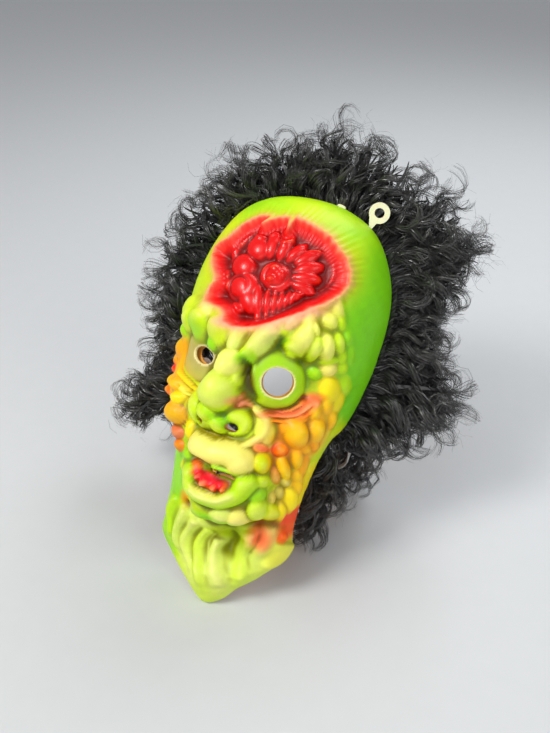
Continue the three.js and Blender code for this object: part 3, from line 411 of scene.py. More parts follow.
overRows = [  # sprays over the lumps, as above
    (8.5, 7.5, 8, 8, 0, 0.9, "lime"),
    (-25.5, 9, 10, 8, 0, 1, "lime"),
    (-41, 18, 10, 14, 0, 0.7, "lime"),
    (-5, 30, 28, 6, 6, 0.8, "pinkCream"),
    (26, 43, 24, 7, 32, 1, "pinkCream"),
    (20, 33, 8, 8, 0, 0.6, "pinkCream"),
    (36, -26, 21, 5.5, 14, 0.9, "coral"),
    (54, -13, 8, 6, 40, 1, "coral"),
    (10, -22, 8, 6, 20, 0.8, "softCoral"),
    (12, -7, 5, 16, 20, 1, "shade"),
    # painted shade: olive over the lower half of the right eyeball
    (28, -19, 18, 7, 0, 0.7, "oliveLime"),
    (44, -50, 17, 7, -20, 0.6, "orange"),
    (40, -33, 14, 6, 10, 0.6, "orange"),
    (8, -115, 30, 5, 0, 0.9, "lime"),
    (-4, -40, 4, 12, 60, 0.6, "lime"),
    (3, -39, 6, 8, 20, 0.9, "lime"),
    (-62, -6, 9, 18, 0, 0.8, "amberOrange"),
    (-66, -21, 6, 7, 0, 0.9, "red"),
    (30, -64, 5, 9, 10, 0.7, "limeLemon"),
    (-1, -82.5, 14, 5.5, -14, 1.4, "gum"),
    (4, -87.2, 10, 2.2, -4, 0.8, "tooth"),
    (38, -126, 10, 15, 15, 0.9, "coral"),
    (52, -120, 7, 12, 0, 0.8, "scarletOrange"),
]


def linear(colour):  # screen values to light
    share = np.asarray(colour, float) / 255
    return np.where(share <= 0.04045, share / 12.92, ((share + 0.055) / 1.055) ** 2.4)


def mixed(under, over, share):  # two colours, with the second one's share at each point
    share = np.asarray(share)[..., None]
    return under * (1 - share) + over * share


def nearTo(points, x, z, reach):  # which points lie near a place on the front view
    return np.flatnonzero((np.abs(points[:, 0] - x) < reach) & (np.abs(points[:, 2] - z) < reach))


def turnedOval(u, v, wide, tall, turn):  # how far from an oval's middle, 1 at its edge
    c, s = math.cos(math.radians(turn)), math.sin(math.radians(turn))
    return ((u * c + v * s) / wide) ** 2 + ((v * c - u * s) / tall) ** 2


def ovalDistance(points, frameAt, wide, tall, turn):  # the same for an oval ball on its seat
    origin, right, climb, out = frameAt
    away = points - origin
    return turnedOval(away @ right, away @ climb, wide, tall, turn) + (away @ out / max(wide, tall)) ** 2


def smoothMax(a, b, blend):
    h = np.clip(0.5 + 0.5 * (a - b) / blend, 0, 1)
    return b + (a - b) * h + blend * h * (1 - h)


def nearChain(points, knots, reach):  # which points lie within reach of a chain's box
    low, high = np.min(knots, 0) - reach, np.max(knots, 0) + reach
    return np.flatnonzero((points[:, [0, 2]] > low).all(1) & (points[:, [0, 2]] < high).all(1))


def polyline(points2, knots):  # distance in mm to a chain of front-view points, and how far along it
    best = np.full(len(points2), 1e9)
    along = np.zeros(len(points2))
    knots = np.asarray(knots, float)
    lengths = np.concatenate([[0], np.cumsum(np.linalg.norm(np.diff(knots, axis=0), axis=1))])
    for a, b, start, end in zip(knots, knots[1:], lengths, lengths[1:]):
        t = np.clip(((points2 - a) @ (b - a)) / max(1e-9, (b - a) @ (b - a)), 0, 1)
        d = np.linalg.norm(points2 - a - t[:, None] * (b - a), axis=1)
        nearer = d < best
        best[nearer] = d[nearer]
        along[nearer] = (start + t[nearer] * (end - start)) / lengths[-1]
    return best, along


def bowed(knots, steps=6):  # a smooth open curve through the knots
    knots = np.asarray(knots, float)
    ends = np.concatenate([2 * knots[:1] - knots[1:2], knots, 2 * knots[-1:] - knots[-2:-1]])
    t = np.linspace(0, 1, steps, endpoint=False)[:, None]
    rows = [betweenKnots(*four, t) for four in zip(ends, ends[1:], ends[2:], ends[3:])]
    return np.concatenate(rows + [knots[-1:]])


def waves(points, seed, size, count=7):  # smooth irregular waves, the same each run
    maker = np.random.default_rng(seed)
    total = np.zeros(len(points))
    for _ in range(count):
        direction = unit(maker.normal(size=3))
        pace = 2 * np.pi / (size * maker.uniform(0.7, 1.5))
        total += np.sin(points @ direction * pace + maker.uniform(0, 6.28))
    return total / count


def lumpHeights(points):  # height of lumps and rolls, and the colours mixed by how much of each shows
    warp = np.stack([waves(points, seed, relief["warpSize"]) for seed in (3, 4, 5)], -1) * relief["warp"]
    moved = points + warp
    highest, skirt, weights = (np.zeros(len(points)) for _ in range(3))
    mix = np.zeros((len(points), 3))

    def lay(where, off, size, lift, tint):  # off: how far from the lump's middle, 1 at its edge
        rise = lift * np.clip(1 - off, 0, 1) ** relief["roundness"]
        spread = min(1 + relief["skirtReach"] / size, relief["skirtMost"])
        wider = lift * relief["skirtShare"] * np.clip(1 - off / spread ** 2, 0, 1)
        highest[where] = smoothMax(highest[where], rise, relief["blend"])
        skirt[where] = smoothMax(skirt[where], wider, relief["skirtBlend"])
        share = np.exp(rise / relief["colourBlend"]) - 1
        weights[where] += share
        mix[where] += share[:, None] * linear(tints[tint])

    for name, x, z, *size, turn, lift, tint in lumpRows:
        where = nearTo(points, x, z, 1.8 * max(size) + 3)
        at = (points if name.startswith("eyeball") else moved)[where]
        wide, tall = np.array(size) * relief["grow"]
        lay(where, ovalDistance(at, seatFrame(x, z), wide, tall, turn), sum(size) / 2, lift, tint)
    for _, half, lift, tint, knots in rollRows:
        where = nearChain(points, knots, 2 * half + 3)
        at = points[where][:, [0, 2]] + warp[where][:, [0, 2]] * relief["rollWarp"]
        distance, along = polyline(at, bowed(knots))
        thin = half < relief["rollTaper"]
        taper = smoothStep(along, 0, 0.2) * (1 - smoothStep(along, 0.8, 1)) if thin else 1
        lay(where, (distance / half) ** 2, half, lift * taper, tint)
    return smoothMax(highest, skirt, relief["joinBlend"]), weights, mix


def foldHeight(points):  # draped folds, with the colour of each along its crest
    points2 = points[:, [0, 2]] + np.stack([waves(points, 6, 34) * 5, waves(points, 7, 34) * 4], -1)
    total, weights, mix = np.zeros(len(points)), np.zeros(len(points)), np.zeros((len(points), 3))
    for half, lift, tint, knots in foldRows:
        distance, along = polyline(points2, bowed(knots))
        fade = smoothStep(along, 0, 0.12) * (1 - 0.6 * smoothStep(along, 0.8, 1))
        rise = lift * np.exp(-(distance / half) ** 2) * fade
        total = smoothMax(total, rise, relief["foldBlend"])
        weights += rise
        mix += rise[:, None] * linear(tints[tint])
    return total, weights, mix


def sprayed(points, colour, rows):  # broad soft sprays, one over the other
    size = relief["sprayWanderSize"]
    wander = np.stack([waves(points, 11, size), waves(points, 12, size)]) * relief["sprayWander"]
    x, z = points[:, 0] + wander[0], points[:, 2] + wander[1]
    for cx, cz, wide, tall, turn, strength, tint in rows:
        share = strength * np.clip(1 - turnedOval(x - cx, z - cz, wide, tall, turn), 0, 1)
        colour = mixed(colour, linear(tints[tint]), smoothStep(share, 0, 1))
    return colour


# the wound on the forehead, with its torn edge and the brain in it

woundEdge = [  # x, z of the torn edge on the front view, once round from the left notch
    (-28, 106), (-22, 109.5), (-15, 110), (-19, 104), (-14, 107), (-6, 111), (1, 112), (3.5, 104), (6, 113),
    (12, 112), (23, 109), (35, 104), (42, 98), (50, 91), (55, 82), (57, 73), (54, 65), (50, 61), (46, 56),
    (40, 53), (36, 49), (30, 45), (24, 41), (17, 36.5), (9, 32.5), (0, 29.5), (-10, 27.5), (-15, 29), (-18, 34),
    (-23, 38), (-31, 39), (-38, 40), (-43, 44), (-42, 50), (-39, 56), (-43, 62), (-50, 68), (-54, 74),
    (-55, 79), (-50, 84), (-44, 87), (-41, 92), (-38, 96), (-34, 101),
]
wound = {
    "edgeLength": 300, "dish": 8.6, "slope": 11, "step": 2.4, "lip": 1.7, "lipOut": 3.5, "lipIn": 1.5,
    "frill": 0.49, "frillSpacing": 2.6, "rays": 0.55, "raySpacing": 4.1, "rayReach": 6, "lobeGrow": 1.16,
    "lobeBlend": 0.6, "lobeRoundness": 0.42, "bedGrow": 1.45, "bedShare": 0.6, "bedBlend": 2, "squash": 1.1,
}
lobeRows = [  # x, z, wide, tall, turn, stand of the brain's lobes
    (7, 71.5, 12.4, 11.2, -17, 8.6),   # knot in the middle
    (5.4, 75.6, 6.2, 5.2, -33, 11.2),
    (10.8, 72.4, 5, 6, 20, 11),
    (4.6, 68, 5, 4, 30, 10.4),
    (-25, 74, 11.6, 9.6, -21, 9.2),  # balls on the left
    (-17.5, 90.5, 11.2, 9.8, -37, 9),
    (-6, 94.6, 6.2, 11.4, 8, 8),     # lobes along the top
    (5.2, 94.2, 6, 10.8, -10, 8),
    (15.8, 92.6, 5.6, 10.4, -34, 7.6),
    (25.2, 90, 11.4, 5.8, 38, 7.4),    # ribs on the right
    (30, 82.8, 11.8, 5.8, 20, 7.8),
    (31, 75, 11.2, 5.6, 4, 7.8),
    (30.4, 67.8, 10.2, 5, -10, 7),
    (30, 61.8, 2.6, 6.4, -28, 5.6),    # fine ribs below
    (25.6, 58.8, 2.7, 6.8, -18, 5.8),
    (21.2, 56.4, 2.7, 7.4, -8, 6),
    (16.8, 54.4, 2.8, 8.2, 1, 6.2),
    (12, 52.2, 3.1, 9.4, 7, 6.6),
    (6.4, 50.8, 3.7, 11, 12, 7.2),
    (-1.4, 50.8, 5.2, 14, 18, 8),
    (-18.6, 58.4, 14.4, 12.2, -12, 9.2), # coil on the left and its arm
    (-9.4, 49.4, 12, 7.8, -42, 8.8),
    (-15, 42.6, 6.6, 5.4, 5, 7.6),
    (-35.5, 62, 5, 9.6, 10, 5),
    (-38.5, 78, 4.5, 9, 5, 4.2),
    (-32, 94, 4.8, 9, -30, 4.2),
]
coilRows = [  # rings on the lobes: x, z, radius, half width, how much is left out, where, stand
    (7.4, 71.8, 13.4, 1.3, 0.5, -2.2, 1.6),
    (7.4, 72.2, 8.8, 1, 0.7, 0.8, -1.2),
    (-20.5, 57.4, 8.6, 1.4, 0.9, -0.6, -1.6),
    (30, 79, 19, 1.2, 1.7, 3.14, 2.2),
]


def edgeDistance(points2):  # mm inside the torn edge, and how far round
    closed = woundEdge + woundEdge[:1]
    distance, along = polyline(points2, closed)
    x, z = points2[:, 0], points2[:, 1]
    crossings = np.zeros(len(points2), int)
    for (ax, az), (bx, bz) in zip(closed[:-1], closed[1:]):
        spans = (az > z) != (bz > z)
        crossings += spans & (x < (bx - ax) * (z - az) / (bz - az + 1e-12) + ax)
    return np.where(crossings % 2 == 1, distance, -distance), along


def woundHeight(points):  # height of the wound and its brain, and how far inside the edge
    points2 = points[:, [0, 2]]
    deep, along = edgeDistance(points2)
    along = along * wound["edgeLength"]
    frill = wound["frill"] * np.sin(2 * np.pi * along / wound["frillSpacing"] + 2 * np.sin(along / 7))
    rays = wound["rays"] * np.sin(2 * np.pi * along / wound["raySpacing"] + 1.7 * np.sin(along / 9))
    rays *= np.exp(-np.clip(-deep, 0, 50) / wound["rayReach"])
    outside = wound["lip"] * np.exp(-(deep / wound["lipOut"]) ** 2) + rays * smoothStep(-deep, 0, 2.5)
    inside = wound["lip"] * np.exp(-(deep / wound["lipIn"]) ** 2) - wound["step"] * smoothStep(deep, 0, 1.6)
    inside -= wound["dish"] * smoothStep(deep, 0.5, wound["slope"])
    inside += frill * smoothStep(deep, 0.6, 2) * (1 - smoothStep(deep, 5, 9))
    lobes, bed = np.zeros(len(points)), np.zeros(len(points))  # bed: a wider, lower form under each lobe
    for x, z, wide, tall, turn, lift in lobeRows:
        where = nearTo(points, x, z, 1.8 * max(wide, tall))
        off = ovalDistance(points[where], seatFrame(x, z), wide, tall, turn)
        ball = lift * np.clip(1 - off / wound["lobeGrow"] ** 2, 0, 1) ** wound["lobeRoundness"]
        low = lift * wound["bedShare"] * np.clip(1 - off / wound["bedGrow"] ** 2, 0, 1)
        lobes[where] = smoothMax(lobes[where], ball, wound["lobeBlend"])
        bed[where] = smoothMax(bed[where], low, wound["bedBlend"])
    lobes = smoothMax(lobes, bed, wound["lobeBlend"])
    for x, z, radius, half, gap, at, lift in coilRows:
        dx, dz = points2[:, 0] - x, (points2[:, 1] - z) * wound["squash"]
        turned = (np.arctan2(dz, dx) - at + np.pi) % (2 * np.pi) - np.pi
        ring = np.exp(-((np.hypot(dx, dz) - radius) / half) ** 2)
        lobes += lift * ring * (1 - np.exp(-(turned / gap) ** 2))
    return np.where(deep < 0, outside, inside) + lobes * smoothStep(deep, 3, 8), deep


def wrinkleHeight(points):  # fine wrinkles in arcs round their centres
    x, z = points[:, 0], points[:, 2]
    total = np.zeros(len(points))
    for cx, cz, inner, outer, spacing, height, start, end in wrinkleSets:
        reach = np.hypot(x - cx, z - cz)
        angle = np.degrees(np.arctan2(z - cz, x - cx))
        half = (end - start) / 2
        off = np.abs((angle - (start + end) / 2 + 180) % 360 - 180)
        inArc = 1 - smoothStep(off, half - 18, half) if half < 180 else 1
        band = smoothStep(reach, inner, inner + 3) * (1 - smoothStep(reach, outer - 3, outer))
        ripple = np.cos(2 * np.pi * (reach - inner) / spacing + 0.4 * np.sin(angle / 11))
        total += height * ripple * band * inArc
    return total


def creaseHeight(points):  # creases and pits
    total = np.zeros(len(points))
    for half, depth, knots in grooveRows:
        where = nearChain(points, knots, 2.5 * half)
        distance = polyline(points[where][:, [0, 2]], bowed(knots))[0]
        total[where] -= depth * np.exp(-(distance / half) ** 2)
    for x, z, reach, depth in dentRows:
        away = np.hypot(points[:, 0] - x, points[:, 2] - z)
        total -= depth * np.exp(-(away / reach) ** 2 * 1.6)
    return total


def faceHeights(points):  # how far the outside stands off the base surface, with its masks and paint
    broad = np.zeros(len(points))
    for x, z, wide, tall, height in formRows:
        broad += height * np.clip(1 - ovalDistance(points, seatFrame(x, z), wide, tall, 0), 0, 1) ** 1.5
    lumps, weights, mix = lumpHeights(points)
    torn, deep = woundHeight(points)
    folds, foldWeights, foldMix = foldHeight(points)
    lumps = smoothMax(lumps, folds, relief["joinBlend"])
    hem = relief["hem"] * waves(points, 8, relief["hemSize"]) * smoothStep(-points[:, 2], 112, 150)
    fine = hem + wrinkleHeight(points) * (1 - np.clip(lumps / 9, 0, 0.75)) + creaseHeight(points)
    hold = relief["skinHold"]
    skin = sprayed(points, np.tile(linear(tints["lemonLime"]), (len(points), 1)), sprayRows)
    paint = (mix + foldMix + skin * hold) / (weights + foldWeights + hold)[:, None]
    paint = sprayed(points, mixed(paint, skin, relief["skinShare"]), overRows)
    whole = 1 - smoothStep(deep, -2, 3)
    return broad, lumps * whole, fine * whole, torn, deep, paint


# grid of the shell

halfTall = np.ptp(rimKnots[:, 2]) / 2
shellGrid = {
    "outside": (200, 390), "inside": (90, 176),  # cells across and up
    "hollowRounds": 30, "fineRounds": 5, "floorGap": 0.3,
    "ringStand": 0.4, "ringWide": 0.65, "ringBelow": 20.0,  # the pale rings round the eye holes
    "insideLumps": 0.72, "insideWall": 1.3,
}
holes = {  # x, z, half width, half height of each opening on the front view
    "eyeRight": (31.0, -4.4, 10.4, 10.8),
    "eyeLeft": (-31.8, 0.2, 10.2, 6.6),
    "nostrilRight": (7.4, -43.8, 4.2, 3.6),
    "nostrilLeft": (-17.0, -45.5, 3.4, 3.0),
}
slit = {"knots": [(-1.0, -78.4), (8.5, -78.0), (18.0, -79.0)], "half": 1.5}  # the open mouth


def gridPoints(across, up):  # a square grid bent to the rim's oval
    a, b = np.meshgrid(np.linspace(-1, 1, across + 1), np.linspace(-1, 1, up + 1))
    p = a * np.sqrt(1 - b * b / 2)
    q = b * np.sqrt(1 - a * a / 2)
    angle = np.arctan2(q * halfTall, p * face["halfWidth"])
    points = baseAt(angle, np.minimum(1, np.hypot(p, q))).reshape(-1, 3)
    index = np.arange(a.size).reshape(a.shape)
    quads = np.stack([index[:-1, :-1], index[:-1, 1:], index[1:, 1:], index[1:, :-1]], -1)
    return points, quads.reshape(-1, 4)


def cornerNormals(points, quads):  # which way the surface faces at each point
    a, b, c, d = (points[quads[:, k]] for k in range(4))
    total = np.zeros_like(points)
    for k in range(4):
        np.add.at(total, quads[:, k], np.cross(c - a, d - b))
    return unit(total)


def holeReach(x, z):  # how near each place is to an opening's edge: 1 on it, less inside it
    reach = np.full(np.shape(x), 9.0)
    for cx, cz, wide, tall in holes.values():
        reach = np.minimum(reach, np.hypot((x - cx) / wide, (z - cz) / tall))
    return reach


def cutHoles(points, quads):  # drops the cells in the openings and rounds what is left
    centres = points[quads].mean(1)
    distance, along = polyline(centres[:, [0, 2]], slit["knots"])
    half = slit["half"] * np.sqrt(np.clip(1 - (2 * along - 1) ** 2, 0, 1)) + 0.2
    quads = quads[(holeReach(centres[:, 0], centres[:, 2]) > 1) & (distance > half)]
    rim = np.unique(openEdges(quads))
    for x, z, wide, tall in holes.values():
        dx, dz = (points[rim, 0] - x) / wide, (points[rim, 2] - z) / tall
        reach = np.hypot(dx, dz)
        near = (reach < 1.6) & (np.abs(points[rim, 0] - x) < 20)
        dx, dz = dx[near] / reach[near], dz[near] / reach[near]
        points[rim[near]] = seat(x + dx * wide, z + dz * tall)
    return points, quads


def openEdges(quads):  # directed edges that only one face uses
    ways = np.stack([quads.ravel(), np.roll(quads, -1, axis=1).ravel()])
    low, high = np.sort(ways, 0).astype(np.int64)
    _, first, counts = np.unique(low * 10_000_000 + high, return_index=True, return_counts=True)
    return ways[:, first[counts == 1]]


def compact(points, quads, normals):  # leaves out points that no face uses
    used = np.unique(quads)
    where = np.full(len(points), -1)
    where[used] = np.arange(len(used))
    return points[used], where[quads], normals[used]


def cutGrid(across, up):  # the base surface with its openings, and which way it faces
    base, quads = gridPoints(across, up)
    normals = cornerNormals(base, quads)
    return compact(*cutHoles(base, quads), normals)


def smoothed(values, quads, rounds):  # each value averaged with its neighbours', again and again
    ends = np.concatenate([quads[:, [k, (k + 1) % 4]] for k in range(4)])
    count = np.bincount(ends.ravel(), minlength=len(values))
    for _ in range(rounds):
        total = np.bincount(ends[:, 0], values[ends[:, 1]], len(values))
        total += np.bincount(ends[:, 1], values[ends[:, 0]], len(values))
        values = total / np.maximum(count, 1)
    return values


def stood(points):  # to where it stands, with nothing under the surface it stands on
    points = leanBack(points)
    points[:, 2] = np.maximum(points[:, 2], floorUp + shellGrid["floorGap"])
    return toRow(points)


def buildOutside():  # the painted sheet with its edges turned in
    base, quads, normals = cutGrid(*shellGrid["outside"])
    broad, lumps, fine, torn, deep, paint = faceHeights(base)
    off = (holeReach(base[:, 0], base[:, 2]) - 1) * 10.5 / shellGrid["ringWide"]
    ring = np.exp(-off ** 2) * (np.abs(base[:, 2]) < shellGrid["ringBelow"])
    height = broad + lumps + fine + torn + ring * shellGrid["ringStand"]
    points = base + normals * height[:, None]
    starts, ends = openEdges(quads)
    loop = np.unique(starts)
    copyOf = np.full(len(points), -1)
    copyOf[loop] = len(points) + np.arange(len(loop))
    back = points[loop] - normals[loop] * face["wall"]
    walls = np.stack([ends, starts, copyOf[starts], copyOf[ends]], -1)
    facts = {
        "deep": deep, "ring": ring, "paint": paint, "front": base, "cut": np.zeros(len(points)),
        "hollow": height - smoothed(height, quads, shellGrid["hollowRounds"]),
        "crease": height - smoothed(height, quads, shellGrid["fineRounds"]),
    }
    facts = {name: np.concatenate([value, value[loop]]) for name, value in facts.items()}
    facts["cut"][len(points):] = 1
    return np.concatenate([points, back]), np.concatenate([quads, walls]), facts


def buildInside():  # the bare back of the shell
    base, quads, normals = cutGrid(*shellGrid["inside"])
    broad, lumps, fine, _, deep, _ = faceHeights(base)
    bowl = (wound["step"] + wound["dish"]) * smoothStep(deep, -3, 6) + face["wall"] * shellGrid["insideWall"]
    height = broad + lumps * shellGrid["insideLumps"] + np.minimum(fine, 0) - bowl
    return base + normals * height[:, None], quads[:, ::-1]


outsidePoints, outsideFaces, facts = buildOutside()
insidePoints, insideFaces = buildInside()
maskFace = makeMesh("mask_face", stood(outsidePoints), outsideFaces)
maskInside = makeMesh("mask_inside", stood(insidePoints), insideFaces)
print("face modelled:", len(outsidePoints), "points")


# paint on the face: sprays, painted shade in the creases, painted highlights on the crests, the red wound with
# painted shade in its hollows and painted highlights on the brain's crests, and its pink edge

# crest is the painted highlight on the lumps, dark the painted shade in the wound's hollows, rim the wound's pink
# edge and also the painted highlight on the brain's crests
coatTints = {
    "crest": (253, 240, 170), "ring": (246, 232, 178), "pink": (238, 84, 78), "red": (214, 16, 10),
    "dark": (104, 0, 0), "rim": (246, 150, 128),
}
coat = {  # where each coat begins and is full, and how strong it is
    # the first coats are painted light: a painted highlight on the crests, and painted shade, darker and warmer, in
    # broad hollows and fine creases
    "crestHighlightRange": (0.4, 3.0), "crest": 0.3, "creaseShadeRange": (0.2, 2.6), "crease": 0.82,
    "creaseShadeTint": (0.387, 0.36, 0.1575), "fineCreaseShadeRange": (0.05, 0.7), "fine": 0.25, "mottle": 0.10,
    # then painted shade in the wound's hollows and a painted highlight on the brain's crests
    "redRange": (0.8, 4.0), "woundShadeRange": (-0.1, 1.3), "dark": 0.9, "brainHighlightRange": (0.25, 0.8), "brainHighlight": 0.4,
    "rimSpread": 4.4, "rim": 0.85, "edgeRange": (-1.2, 1.2), "ringCut": 0.6, "vivid": 1.18,
}


def paintFace():
    deep, hollow, crease, front = (facts[name] for name in ("deep", "hollow", "crease", "front"))
    tint = {name: linear(colour) for name, colour in coatTints.items()}
    mottle = waves(front, 21, 9) * 0.5 + waves(front, 22, 26) * 0.5
    rough = waves(front, 31, 6)
    # painted highlight: the crests of the lumps lightened towards the cream crest tint
    light = smoothStep(hollow, *coat["crestHighlightRange"]) * coat["crest"] * (0.8 + 0.6 * mottle)
    # painted shade: darker and warmer in the broad hollows and the fine creases
    shadow = smoothStep(-hollow, *coat["creaseShadeRange"]) * coat["crease"]
    shadow += smoothStep(-crease, *coat["fineCreaseShadeRange"]) * coat["fine"]
    paint = mixed(facts["paint"], tint["crest"], light)
    paint = mixed(paint, paint * coat["creaseShadeTint"], shadow) * (1 + coat["mottle"] * mottle)[:, None]
    torn = mixed(tint["pink"], tint["red"], smoothStep(deep + rough * 1.5, *coat["redRange"]))
    # painted shade: dark red in the hollows between the brain's lobes
    dark = smoothStep(-hollow, *coat["woundShadeRange"]) * smoothStep(deep, 3, 8) * coat["dark"]
    # painted highlight: paler pink, mottled, on the brain's sharp crests
    brainHighlight = smoothStep(crease, *coat["brainHighlightRange"]) * smoothStep(deep, 4, 8) * coat["brainHighlight"]
    torn = mixed(mixed(torn, tint["dark"], dark), tint["rim"], brainHighlight * np.clip(0.4 + 1.5 * mottle, 0, 1))
    rim = np.exp(-np.clip(-deep + rough * 1.2, 0, 60) / coat["rimSpread"]) * coat["rim"]
    paint = mixed(mixed(paint, tint["rim"], rim), torn, smoothStep(deep + rough, *coat["edgeRange"]))
    ring = np.clip(facts["ring"] * 1.4, 0, 1) * (1 - coat["ringCut"] * facts["cut"])
    paint = mixed(paint, tint["ring"], ring)
    paint = mixed(paint.mean(1)[:, None], paint, coat["vivid"])
    addPaint(maskFace, "paint", np.clip(paint, 0, 1))
    addValues(maskFace, "wet", smoothStep(deep, 1, 6) * smoothStep(hollow, -1.5, 0.5))


paintFace()
print("face painted")


# hair: curled locks sewn to a strip behind the rim; each kind's own values stand beside it

hairMake = {
    "lockLength": 60.0, "lockGirth": 26.0, "rootIn": 4.2, "rootBack": 7.0, "strands": 17, "points": 23,
    "width": 0.62, "taper": 0.75, "spread": 0.85, "roll": 0.55, "uncoil": 0.35, "tones": (0.2, 0.8),
    "toneWobble": 0.2, "clearShare": 1.05, "clearBack": 3.0, "floorGap": 0.4,
}
lockRows = [  # round from the right cheek: bearing; right, back, rise: shares of lockLength; girth
    ("cheekRight", -22, 0.2, 0, -0.7, 0.9),
    ("cheekRightUpper", -10, 0.34, 0.16, -0.5, 0.95),
    ("wingRight", 2, 0.5, 0.5, -0.42, 1.12),
    ("wingRightUpper", 12, 1.0, 0.7, -0.48, 1.08),
    ("earRight", 24, 0.65, 0.7, -0.2, 1.15),
    ("earRightUpper", 34, 0.36, 0.6, 0, 1.1),
    ("templeRight", 44, 0.42, 0.7, 0.06, 1.12),
    ("templeRightUpper", 54, 0.74, 0.8, 0.3, 1.12),
    ("cornerRight", 66, 0.5, 0.66, 0.3, 1.25),
    ("top", 84, -0.08, 0.55, 0.6, 1.15),
    ("topLeft", 98, -0.3, 0.42, 0.3, 1.05),
    ("cornerLeft", 112, -0.6, 0.16, 0.2, 1.28),
    ("templeLeft", 130, -0.8, 0.06, -0.16, 1.05),
    ("earLeftUpper", 145, -0.76, 0.05, -0.3, 1.0),
    ("earLeft", 157, -0.62, 0, -0.4, 0.9),
    ("wingLeft", 172, -0.98, -0.28, -0.98, 1.0),
]
lockTable = np.array([row[1:] for row in lockRows], float)
legRows = [  # locks that hang to the surface: at, right and back to the foot, girth
    ("jawRight", -36, -0.04, 0.12, 0.78),
    ("jawLeft", 200, 0.04, 0.2, 0.6),
    ("backRight", 6, -0.15, 0.55, 0.75),
    ("backLeft", 165, 0, 0.75, 0.8),
]

parting = {  # where the strap shows between the strands, along the line of sight towards it
    "top": (68.2, -8.6, -71.0), "foot": (56.6, 0.6, -98.0), "towards": (0.354, -0.746, 0.563),
    "length": 95.0, "half": 8.6,
}


def rimFrames(degrees):  # edge, over the edge to the back, and outward, in the leaned frame
    angle = np.radians(np.asarray(degrees, float))
    edge = rimAt(angle)
    along = unit(rimAt(angle + 0.03) - rimAt(angle - 0.03))
    over = unit(np.array([0, 1, 0]) - along * along[..., 1:2])
    out = unit(np.cross(over, along))
    flip = np.sign(np.sum(out * (edge - middle), -1))[..., None]
    return leanBack(edge), leanBack(over), leanBack(out * flip)


def hairRoots(degrees, rise=0.0):  # where hair is sewn on, with the ways over the edge and outward
    edge, over, out = rimFrames(degrees)
    return edge - out * hairMake["rootIn"] + over * (hairMake["rootBack"] + rise), over, out


def clearOfShell(points):  # moves hair that would lie in front of the face out round its edge
    points = leanBack(points, -1)
    x, y, z = np.moveaxis(points, -1, 0)
    edge = rimAt(np.arctan2(z - middle[2], x - middle[0]))
    share = shareOut(x, z, edge)
    inFront = (y < edge[..., 1] + hairMake["clearBack"]) & (share < hairMake["clearShare"])
    grow = np.where(inFront, hairMake["clearShare"] / np.maximum(share, 0.5), 1)[..., None]
    points = leanBack(np.where([True, False, True], middle + (points - middle) * grow, points))
    points[..., 2] = np.maximum(points[..., 2], floorUp + hairMake["floorGap"])
    return points


def offStrap(paths):  # which strands leave the strap in sight
    steps = np.diff(paths, axis=1)
    off = np.concatenate([paths[:, :-1] + steps * part for part in (0, 0.33, 0.67)], 1) - parting["top"]
    sight = unit(np.array(parting["towards"], float))
    run = np.subtract(parting["foot"], parting["top"])
    run = run - sight * (run @ sight)
    reach, share, across = off @ sight, off @ run / (run @ run), off @ unit(np.cross(run, sight))
    over = (share > 0) & (share < 1) & (np.abs(across) < parting["half"])
    return ~(over & (reach > 0.8) & (reach < parting["length"])).any(1)


def bendThrough(knots, count):  # a smooth curve of count points for each row of four knots
    t = np.linspace(0, 1, count)[None, :, None]
    a, b, c, d = (knots[:, k:k + 1] for k in range(4))
    return a * (1 - t) ** 3 + 3 * b * t * (1 - t) ** 2 + 3 * c * t * t * (1 - t) + d * t ** 3


def curled(paths, radius, pitch, phase, start, side):  # winds each path into a ringlet
    tangent = unit(np.gradient(paths, axis=1))
    across = unit(side[:, None, :] - tangent * np.sum(side[:, None, :] * tangent, -1, keepdims=True))
    rise = np.cross(tangent, across)
    step = np.linalg.norm(np.diff(paths, axis=1), axis=-1)
    length = np.concatenate([np.zeros((len(paths), 1)), np.cumsum(step, 1)], 1)
    share = length / length[:, -1:]
    angle = 2 * np.pi * length / pitch[:, None] + phase[:, None]
    reach = radius[:, None] * smoothStep(share, start, start + hairMake["uncoil"])
    return paths + reach[..., None] * (np.cos(angle)[..., None] * across + np.sin(angle)[..., None] * rise)


def ribbons(name, paths, centres, tones, width):  # flat tapering strands that face outward from their lock
    kept = offStrap(paths)
    paths, centres, tones = paths[kept], centres[kept], tones[kept]
    count = paths.shape[1]
    tangent = unit(np.gradient(paths, axis=1))
    facing = unit(paths - centres[:, None, :]) + rng.normal(size=(len(paths), 1, 3)) * hairMake["roll"]
    across = unit(np.cross(tangent, unit(facing)))
    half = width / 2 * (1 - hairMake["taper"] * np.linspace(0, 1, count) ** 3)
    side = across * half[:, None]
    points = np.stack([paths - side, paths + side], 2).reshape(-1, 3)
    start = np.arange(len(paths))[:, None] * count * 2 + np.arange(count - 1)[None, :] * 2
    faces = np.stack([start, start + 1, start + 3, start + 2], -1).reshape(-1, 4)
    piece = makeMesh(name, toRow(points), faces)
    addValues(piece, "tone", np.repeat(tones, count * 2))
    return piece


def inBall(count):  # directions spread through a ball, denser towards its skin
    return unit(rng.normal(size=(count, 3))) * rng.uniform(0.1, 1, (count, 1)) ** 0.6


def wobble(count, size):
    return rng.normal(size=count) * size


def perClump(clumps, low, high):  # one draw for all the strands of a clump
    return np.repeat(rng.uniform(low, high, clumps), hairMake["strands"])


def clumpSides(clumps):  # the side on which each clump's curl begins
    return np.repeat(unit(rng.normal(size=(clumps, 3))), hairMake["strands"], 0)


def clumpTones(clumps):
    change = perClump(clumps, *hairMake["tones"])
    return np.clip(change + wobble(len(change), hairMake["toneWobble"]), 0, 1)


